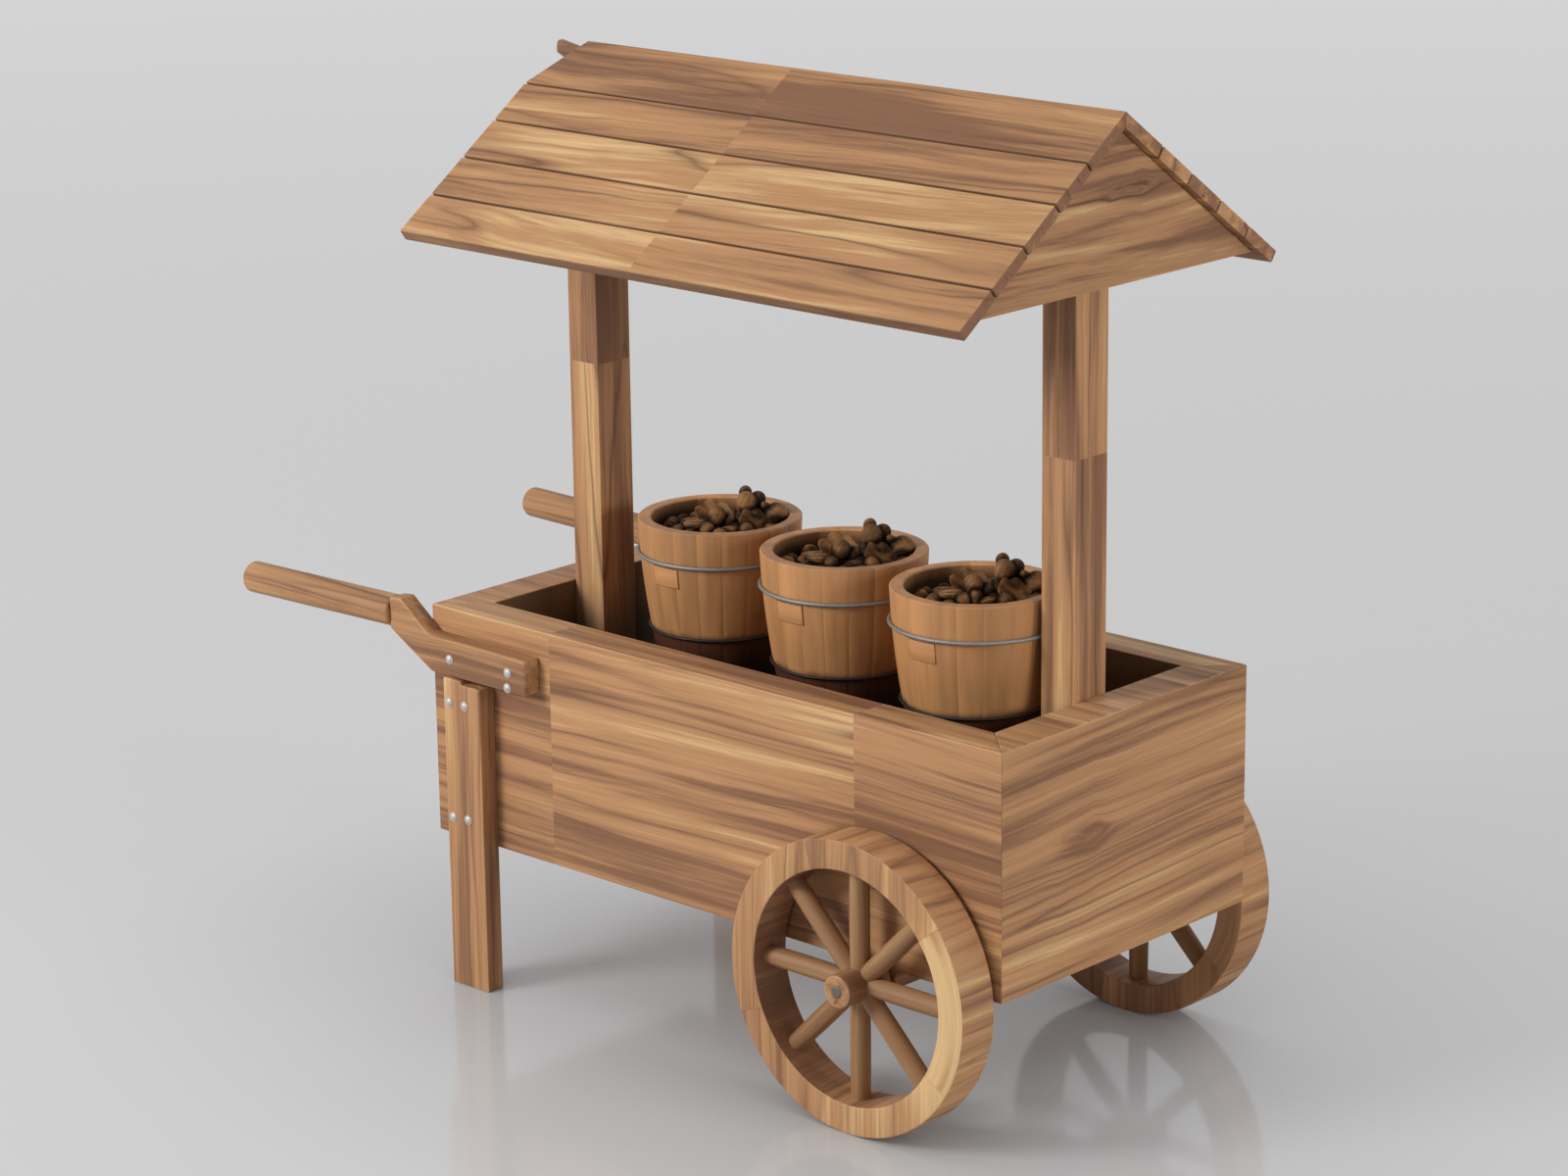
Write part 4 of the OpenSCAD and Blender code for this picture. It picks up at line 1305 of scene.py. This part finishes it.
class CART_OT_buckets(bpy.types.Operator):
    """Build the buckets: staves, bottoms, wire hoops and blank tabs"""
    bl_idname = "nut_cart.buckets"
    bl_label = "Buckets"

    # Painted shade on the inner wall: how dark it grows at the most, from how far over the rim, and over
    # what depth
    DEEPEST, DEEP_FROM, DEEP_OVER = 0.94, 0.012, 0.036

    def one_stave(self, tall, rim, sizes):
        """A stave about +X, from its foot to its rim, with soft grooves at its sides."""
        half = math.pi / sizes.staves - 0.0001
        chamfer, groove = 0.003, 0.0009
        heights = [0.0, chamfer] + [tall * i / 14 for i in range(1, 14)] + [tall - chamfer, tall]
        rings = []
        for z in heights:
            outer = bucket_radius(z, tall, rim)
            inner = outer - sizes.stave
            if z in (heights[0], heights[-1]):
                outer, inner = outer - chamfer, inner + chamfer
            ring = []
            for way, radius in ((1, outer), (-1, inner)):
                for part in (-1, -0.85, -0.5, 0, 0.5, 0.85, 1):
                    r = radius - way * groove if abs(part) == 1 else radius
                    a = way * part * half
                    ring.append((r * math.cos(a), r * math.sin(a), z))
            rings.append(ring)
        solid = lofted(rings)

        # The red-brown band below the lower hoop, and painted shade that deepens down to the foot
        def darkened(point, normal):
            below = sizes.lower_hoop - point.z
            return min(0.45, max(0.0, (below + 0.004) / 0.01)) + max(0.0, below / sizes.lower_hoop) * 0.9

        stave = Joinery().add(
            solid, lambda point, normal: (point.z, point.y, point.x), smooth=True, stain=darkened)
        mesh = stave.mesh("stave", "Bucket staves")
        mesh.attributes.remove(mesh.attributes["tone"])
        # Painted shade on the inner wall, deeper down from the rim
        worn = mesh.attributes["worn"].data
        for face in mesh.polygons:
            for corner in face.loop_indices:
                spot = mesh.vertices[mesh.loops[corner].vertex_index].co
                inner = math.hypot(spot.x, spot.y) < bucket_radius(spot.z, tall, rim) - sizes.stave / 2
                inner_shade = min(self.DEEPEST, (tall + self.DEEP_FROM - spot.z) / self.DEEP_OVER)
                worn[corner].value = inner_shade if inner and face.normal.z < 0.7 else 0.0
        return mesh

    def hoop(self, foot, height, radius, wire):
        """A hoop of round wire, given by its middle line and its own radius."""
        rings = []
        for i in range(96):
            a = math.tau * i / 96
            ring = []
            for j in range(12):
                b = math.tau * j / 12
                far, up = radius + wire * math.cos(b), height + wire * math.sin(b)
                ring.append(foot + Vector((far * math.cos(a), far * math.sin(a), up)))
            rings.append(ring)
        return lofted(rings, closed=True)

    def tab(self, foot, top, tall, rim, sizes):
        """A thin board that is bent round the front of a bucket."""
        low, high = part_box("bucket_tabs")
        half = sizes.tab_width / 2
        outline = box_outline((foot.x - half, top - (high.z - low.z)), (foot.x + half, top))
        tab = rounded(prism(outline, "y", -sizes.tab, 0.012), 0.0009)
        scored(tab, X, [foot.x + half * i / 8 for i in range(-7, 8)])
        for vert in tab.verts:
            radius = bucket_radius(vert.co.z - foot.z, tall, rim)
            vert.co.y += foot.y - math.sqrt(radius ** 2 - (vert.co.x - foot.x) ** 2)
        return tab

    def execute(self, context):
        sizes = context.scene.cart_buckets
        tree = stave_tree()
        hoops, tabs, bottoms = Joinery(), Joinery(), Joinery()
        for seed, name in enumerate(BUCKETS):
            low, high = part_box(f"{name}_bucket")
            tall, rim = high.z - low.z, (high.x - low.x) / 2
            foot = Vector(((low.x + high.x) / 2, (low.y + high.y) / 2, low.z))
            mesh = tree.run(
                self.one_stave(tall, rim, sizes), "Bucket staves", Count=sizes.staves, Unevenness=0.0015,
                Seed=seed * 10 + 4)
            # Painted shade: each bucket darker towards +X, where the front post and the next bucket shade
            # it, and lighter towards -X
            tones = mesh.attributes["tone"].data
            for vert in mesh.vertices:
                tones[vert.index].value += 0.3 - 1.6 * vert.co.x / rim
            mesh.transform(Matrix.Translation(foot))
            show(mesh, f"{name}_bucket_staves", "cart", "bucket_wood", f"{name}_bucket")

            inside = sizes.foot - sizes.stave + 0.002
            profile = [(0.002, inside - 0.001), (0.004, inside), (sizes.bottom, inside + 0.001)]
            bottoms.add(
                turned(profile, foot, Z, 40), straight(X, Y, f"{name} bottom"), -0.4, smooth=True)
            # The lower hoop is thinner, and dark brown
            for height, thinner, darkening in (
                    (tall - sizes.upper_hoop, 2, 0.0), (sizes.lower_hoop, 2.6, 1.0)):
                wire = sizes.wire / thinner
                hoop = self.hoop(foot, height, bucket_radius(height, tall, rim) + wire + 0.0003, wire)
                hoops.add(hoop, straight(X, Y, "wire"), smooth=True, stain=darkening)
            top = foot.z + tall - sizes.upper_hoop - sizes.wire / 2 - 0.004
            tab = self.tab(foot, top, tall, rim, sizes)
            tabs.add(tab, straight(X, Z, f"{name} tab"), 1.2, smooth=True)
        hoops.piece("bucket_wire_hoops", "cart", "hoop_steel", "Bright steel", "bucket_hoops")
        tabs.piece("bucket_blank_tabs", "cart", "bucket_wood", "Bucket staves", "bucket_tabs")
        bottoms.piece("bucket_bottom_boards", "cart", "bucket_wood", "Tray boards")
        return {"FINISHED"}


class CART_OT_nuts(bpy.types.Operator):
    """Build the heaps of nuts in the buckets"""
    bl_idname = "nut_cart.nuts"
    bl_label = "Nuts"

    # The nuts of a heap, in hundredths of the bucket's inside radius and measured from its bed of nuts:
    # x, y, z, radius, form (0 round, 1 almond, 2 wrinkled, 3 husk) and turns about X, Y and Z in degrees
    HEAP = (
        (6, 48, 51, 10, 0, 20, 10, 40), (21, 35, 41, 16, 0, 165, 15, 0), (27, 52, 44, 12, 0, 30, 60, 10),
        (38, 55, 33, 14, 1, 60, 30, 30), (56, 60, 24, 18, 0, 75, 35, 50), (-13, 4, 15, 31, 3, 26, 26, 0),
        (2, -10, 27, 14.5, 0, 200, 25, 70), (46, 24, 12, 27, 3, 34, 26, 40), (48, 4, 10, 12, 0, 60, 20, 40),
        (-60, 4, 3, 14, 1, 84, 0, -47), (-44, -16, 6, 10, 0, 50, 20, 10), (-16, -30, 14, 15, 1, 86, 6, -50),
        (14, 6, 18, 13, 0, 40, 80, 10), (30, 38, 22, 12, 1, 85, 20, 30), (30, -10, 10, 12, 1, 80, 10, 130),
        (6, -34, 12, 11, 0, 80, 20, 10), (30, 2, 8, 11, 0, 45, 60, 70), (24, 18, 20, 11, 2, 10, 50, 90))
    # The mounds under them: x, y, z of the middle and the radius
    MOUNDS = ((0, 4, -62, 80), (24, 42, 6, 26), (48, 54, -10, 28))
    # How far the skin of each form reaches, in its radius, for the painted shade in the creases between nuts
    REACH = (1, 1.2, 1, 0.5)

    def form(self, kind, columns, rows):
        """A nut of radius 1 with its tip up: 0 round, 1 long, 2 wrinkled, 3 an open husk with lobes.

        Its ridge attribute says how high, and so how pale, the skin stands."""
        solid = bmesh.new()
        ridges = solid.verts.layers.float.new("ridge")

        def point(theta, phi):
            x, y, z = math.sin(theta) * math.cos(phi), math.sin(theta) * math.sin(phi), math.cos(theta)
            ridge = 0.0
            if kind == 0:
                swell = 1 - 0.05 * z + 0.09 * max(0.0, z) ** 8 - 0.1 * max(0.0, -z) ** 6
                ridge = 0.25 * math.cos(11 * phi) * math.sin(theta) - 0.9 * max(0.0, -z - 0.7)
                size = Vector((0.97, 0.97, 1.03)) * (swell + 0.008 * math.cos(11 * phi))
            elif kind == 1:
                taper = 1 - 0.22 * z
                ridge = 0.6 * math.cos(9 * phi + 2 * z)
                size = Vector((0.74 * taper, 0.52 * taper, 1.42)) * (1 + 0.018 * math.cos(9 * phi + 2 * z))
            elif kind == 3:
                lobe = abs(math.cos(3.5 * phi))
                wide = 0.8 + 0.17 * lobe + 0.06 * math.sin(2 * phi + 1)
                ridge = 0.35 * math.cos(21 * phi) * math.sin(theta) ** 3 + 0.5 * lobe - 0.3
                cup = (0.3 + 0.12 * lobe) * math.sin(theta) ** 4
                return Vector((x * wide, y * wide, z * 0.26 + cup)), ridge
            else:
                fold = noise.fractal(Vector((x, y, z)) * 2.6 + Vector((3, 1, 7)), 0.8, 2.1, 3)
                seam = math.exp(-(math.sin(phi) * math.sin(theta) / 0.12) ** 2)
                ridge = fold * 1.3 + seam * 0.4
                size = Vector((0.98, 0.94, 1.08)) * (1 + 0.05 * fold + 0.05 * seam)
            return Vector((x * size.x, y * size.y, z * size.z)), ridge

        def vert(theta, phi):
            place, ridge = point(theta, phi)
            made = solid.verts.new(place)
            made[ridges] = ridge
            return made

        rings = [
            [vert(math.pi * i / rows, math.tau * j / columns) for j in range(columns)]
            for i in range(1, rows)]
        top, base = vert(0, 0), vert(math.pi, 0)
        for one, two in zip(rings, rings[1:]):
            skin(solid, one, two)
        for j in range(columns):
            k = (j + 1) % columns
            solid.faces.new((top, rings[0][j], rings[0][k]))
            solid.faces.new((base, rings[-1][k], rings[-1][j]))
        for face in solid.faces:
            face.smooth = True
        return in_scene(f"nut form {kind}", solid_mesh(solid, f"nut form {kind}"))

    def surface(self, x, y, unit):
        """Height of the heap's body over the bed of nuts at a place in the bucket."""
        tall = -3 * unit
        for mx, my, mz, radius in self.MOUNDS:
            gap = math.hypot(x - mx * unit, y - my * unit)
            if gap < radius * unit:
                tall = max(tall, mz * unit + math.sqrt((radius * unit) ** 2 - gap ** 2))
        return tall

    def scatter(self, inside, unit, small, chance):
        """Small nuts that cover the bed and the mounds, none of them deep in another."""
        placed = [(x * unit, y * unit, z * unit, r * unit * 0.72) for x, y, z, r, *_ in self.HEAP]
        made = []
        for _ in range(1500):
            radius = small * chance.uniform(0.8, 1.2)
            far = (inside - radius * 1.02) * math.sqrt(chance.random())
            turn = chance.uniform(0, math.tau)
            x, y = far * math.cos(turn), far * math.sin(turn)
            z = self.surface(x, y, unit) + radius * 0.15
            if all(math.dist((x, y, z), p[:3]) > (radius + p[3]) * 0.9 for p in placed):
                placed.append((x, y, z, radius))
                made.append((x, y, z, radius))
        return made

    def bed(self, inside, unit, foot_z, centre):
        """The body of the heap under the nuts, as a lumpy closed solid, dark all over as painted shade
        between the nuts.
        """
        columns, rows, floor, gap_shade = 56, 14, -0.045, -1.6
        solid = bmesh.new()
        ridges = solid.verts.layers.float.new("ridge")

        def loop(radius, height):
            verts = []
            for j in range(columns):
                a = math.tau * j / columns
                x, y = radius * math.cos(a), radius * math.sin(a)
                vert = solid.verts.new(centre + Vector((x, y, height(x, y))))
                vert[ridges] = gap_shade
                verts.append(vert)
            return verts

        def lumpy(x, y):
            return self.surface(x, y, unit) - 0.007 + 0.004 * noise.noise(Vector((x * 60, y * 60, foot_z)))

        loops = [loop(inside * max(i / rows, 0.02), lumpy) for i in range(rows + 1)]
        loops.append(loop(inside, lambda x, y: floor))
        for one, two in zip(loops, loops[1:]):
            skin(solid, one, two)
        solid.faces.new(reversed(loops[0]))
        solid.faces.new(loops[-1])
        bmesh.ops.recalc_face_normals(solid, faces=solid.faces)
        for face in solid.faces:
            face.smooth = True
        return solid

    def shade_creases(self, heap, nuts):
        """Paints shade into the skin of each nut where it comes close to another, and makes it a little
        paler where the other is further off.
        """
        ridges = heap.verts.layers.float["ridge"]
        places = kdtree.KDTree(len(nuts))
        for i, (centre, _) in enumerate(nuts):
            places.insert(centre, i)
        places.balance()
        for vert in heap.verts:
            near = sorted(far / nuts[i][1] for _, i, far in places.find_range(vert.co, 0.07))
            if len(near) > 1:
                vert[ridges] += 0.6 - 2.5 * min(1, max(0.0, (1.7 - near[1]) / 0.7)) ** 1.5

    def execute(self, context):
        sizes = context.scene.cart_buckets
        tree = nut_tree()
        fine = [self.form(kind, 30, 14) for kind in range(4)]
        coarse = [self.form(kind, 12, 8) for kind in range(4)]
        for seed, name in enumerate(BUCKETS):
            low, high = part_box(f"{name}_bucket")
            tall, rim = high.z - low.z, (high.x - low.x) / 2
            unit = (rim - sizes.stave) / 100
            centre = Vector(((low.x + high.x) / 2, (low.y + high.y) / 2, high.z - sizes.bed))
            inside = bucket_radius(tall - sizes.bed, tall, rim) - sizes.stave
            chance = random.Random(f"nuts {name} 3")
            small = [
                (x, y, z, r, chance.choice((0, 0, 1, 2)), *[chance.uniform(0, 360) for _ in range(3)])
                for x, y, z, r in self.scatter(inside, unit, sizes.nut, chance)]
            large = [(x * unit, y * unit, z * unit, r * unit, *rest) for x, y, z, r, *rest in self.HEAP]
            parts = [solid_mesh(self.bed(inside, unit, seed * 7.0, centre), f"{name} bed", "Nut shells")]
            for nuts, forms in ((large, fine), (small, coarse)):
                spots = bpy.data.meshes.new("spots")
                spots.from_pydata([centre + Vector(nut[:3]) for nut in nuts], [], [])
                spread_of(spots, "form", "INT", [nut[4] for nut in nuts])
                spread_of(
                    spots, "turn", "FLOAT_VECTOR", [math.radians(v) for nut in nuts for v in nut[5:8]])
                spread_of(spots, "size", "FLOAT_VECTOR", [nut[3] for nut in nuts for _ in range(3)])
                spread_of(spots, "tone", "FLOAT", [chance.uniform(-1, 1) for _ in nuts])
                parts.append(tree.run(
                    spots, "Nut shells", Round=forms[0], Long=forms[1], Wrinkled=forms[2], Husk=forms[3]))
            merged = bmesh.new()
            for part in parts:
                merged.from_mesh(part)
            self.shade_creases(
                merged, [(centre + Vector(nut[:3]), nut[3] * self.REACH[nut[4]]) for nut in large + small])
            mesh = solid_mesh(merged, f"{name}_nut_heap", "Nut shells")
            show(mesh, f"{name}_nut_heap", "cart", "nut_shell", f"{name}_nuts")
        for form in (*fine, *coarse):
            bpy.data.objects.remove(form)
        return {"FINISHED"}


class CART_OT_bolts(bpy.types.Operator):
    """Build the bolt heads on the handle bars and the legs"""
    bl_idname = "nut_cart.bolts"
    bl_label = "Bolts"

    # Distances ahead of the rear end of the box and above the foot of the bar
    ON_BAR = ((0.1075, 0.041), (0.3005, 0.047), (0.2985, 0.0105))
    # Distances along and above a leg's lower rear corner, as shares of its width and height
    ON_LEG = ((0.155, 0.924), (0.585, 0.924), (0.165, 0.5515), (0.585, 0.5555))

    def execute(self, context):
        timber = context.scene.cart_timber
        tree = bolt_tree()
        box_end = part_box("rear_end_wall")[0].x
        for side, sign in SIDES.items():
            bar_low, bar_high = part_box(f"{side}_handle_bar")
            leg_low, leg_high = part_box(f"{side}_leg")
            face = bar_low.y if sign < 0 else bar_high.y
            spots = [(box_end + ahead, face, bar_low.z + up) for ahead, up in self.ON_BAR]
            spots += [
                (leg_low.x + (leg_high.x - leg_low.x) * a, face, leg_low.z + (leg_high.z - leg_low.z) * b)
                for a, b in self.ON_LEG]
            points = bpy.data.meshes.new("bolt places")
            points.from_pydata(spots, [], [])
            turn = Euler((math.pi / 2 * -sign, 0, 0))
            spread_of(points, "turn", "FLOAT_VECTOR", [v for _ in spots for v in turn])
            mesh = tree.run(
                points, "Bolt steel", Head=timber.bolt * 0.86, Height=timber.bolt_rise, Washer=timber.bolt,
                Thickness=timber.washer)
            show(mesh, f"{side}_bolt_heads", "cart", "hoop_steel")
        return {"FINISHED"}


class CART_OT_stage(bpy.types.Operator):
    """Build the plain floor, the soft lamps, the pale surroundings and the camera"""
    bl_idname = "nut_cart.stage"
    bl_label = "Stage"

    # Place of the camera and its turns about X, Y and Z in degrees
    CAMERA = (6.5244, -6.8094, 3.6188)
    CAMERA_TURN = (74.197, 0.713, 42.872)

    def lamp(self, name, place, aim, size, power, matt_only):
        """A round lamp and its gleam, which is kept off what is matt only, so it isn't mirrored there."""
        for gleam in (False, True):
            data = bpy.data.lights.new(name + " gleam" * gleam, "AREA")
            data.shape = "DISK"
            data.size = size
            data.energy = power
            lamp = in_scene(data.name, data)
            lamp.location = place
            lamp.rotation_euler = (Vector(aim) - Vector(place)).to_track_quat("-Z", "Y").to_euler()
            lamp.visible_glossy, lamp.visible_diffuse = gleam, not gleam
            if gleam:
                lamp.light_linking.receiver_collection = matt_only

    def floor_finish(self, tone):
        """The floor shows its own pale colour, keeps soft shadows and mirrors a little."""
        made = Finish("Floor")
        seen = made.add("ShaderNodeLightPath", {}).out("Is Camera Ray")
        rough = made.noise(made.place(), scale=0.35, detail=2) * 0.06 + 0.08
        half = shaded(tone, 0.5)
        lit = made.add("ShaderNodeBsdfPrincipled", {}, Base_Color=half, Roughness=rough)
        shelter = made.add("ShaderNodeAmbientOcclusion", {"samples": 12}, Distance=1.1).out("AO")
        plain = made.add("ShaderNodeEmission", {}, Color=made.mix(shelter, (0, 0, 0), half), Strength=1.0)
        both = made.add("ShaderNodeAddShader", {}, lit, plain)
        matt = made.add("ShaderNodeBsdfDiffuse", {}, Color=tone)
        shown = made.add("ShaderNodeMixShader", {}, seen, matt, both)
        made.add("ShaderNodeOutputMaterial", {}, Surface=shown)
        return made.material

    def execute(self, context):
        stage, tone = context.scene.cart_stage, tuple(context.scene.cart_colours.floor)
        low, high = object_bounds()
        middle = (low + high) / 2
        disc = bmesh.new()
        bmesh.ops.create_circle(disc, cap_ends=True, radius=stage.reach, segments=96)
        mesh = solid_mesh(disc, "floor")
        mesh.materials.append(self.floor_finish(tone))
        floor = in_scene("floor", mesh)
        floor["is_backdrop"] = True

        world = bpy.data.worlds.new("Pale studio")
        world.use_nodes = True
        nodes = Nodes(world.node_tree)
        world.node_tree.nodes.clear()
        ray = nodes.add("ShaderNodeLightPath", {})
        shown = ray.out("Is Camera Ray") + ray.out("Is Glossy Ray") + ray.out("Is Transmission Ray")
        light = nodes.add("ShaderNodeBackground", {}, Color=(1, 1, 1), Strength=stage.sky)
        plain = nodes.add("ShaderNodeBackground", {}, Color=tone, Strength=1.0)
        both = nodes.add("ShaderNodeMixShader", {}, shown.clamped(), light, plain)
        nodes.add("ShaderNodeOutputWorld", {}, Surface=both)
        context.scene.world = world

        aim = middle + Vector((0, 0, 0.1))
        matt_only = bpy.data.collections.new("Matt only")
        matt_only.objects.link(floor)
        matt_only.collection_objects[0].light_linking.link_state = "EXCLUDE"
        self.lamp("Key", (-3.5, -8.0, 5.5), aim, 4.0, stage.key, matt_only)
        self.lamp("Fill", (9.0, 0.5, 3.2), aim, 2.5, stage.fill, matt_only)

        data = bpy.data.cameras.new("Camera")
        data.lens = stage.lens
        data.sensor_width = 36
        data.clip_end = 200
        camera = in_scene("Camera", data)
        camera.location = self.CAMERA
        camera.rotation_euler = [math.radians(v) for v in self.CAMERA_TURN]
        context.scene.camera = camera
        context.scene.view_settings.view_transform = "Standard"
        return {"FINISHED"}


class CART_PT_pieces(bpy.types.Panel):
    """Sizes and colours of the cart, and the pieces to build"""
    bl_idname = "CART_PT_pieces"
    bl_label = "Nut Cart"
    bl_space_type = "VIEW_3D"
    bl_region_type = "UI"
    bl_category = "Nut Cart"

    def draw(self, context):
        for name, group in GROUPS.items():
            box = self.layout.box()
            box.label(text=name.removeprefix("cart_").capitalize())
            for key in group.__annotations__:
                box.prop(getattr(context.scene, name), key)
        for operator in PIECES:
            self.layout.operator(operator.bl_idname)


GROUPS = {
    "cart_timber": CartTimber, "cart_wheels": CartWheels, "cart_buckets": CartBuckets,
    "cart_colours": CartColours, "cart_stage": CartStage,
}
PIECES = (
    CART_OT_box, CART_OT_posts, CART_OT_gables, CART_OT_roof, CART_OT_handles, CART_OT_axle,
    CART_OT_wheels, CART_OT_buckets, CART_OT_nuts, CART_OT_bolts, CART_OT_stage,
)


def register():
    for cls in (*GROUPS.values(), *PIECES, CART_PT_pieces):
        bpy.utils.register_class(cls)
    for name, group in GROUPS.items():
        setattr(bpy.types.Scene, name, PointerProperty(type=group))


def unregister():
    for name in GROUPS:
        delattr(bpy.types.Scene, name)
    for cls in reversed((*GROUPS.values(), *PIECES, CART_PT_pieces)):
        bpy.utils.unregister_class(cls)


def main():
    register()
    for operator in PIECES:
        family, piece = operator.bl_idname.split(".")
        getattr(getattr(bpy.ops, family), piece)()
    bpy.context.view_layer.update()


if __name__ == "__main__":
    main()
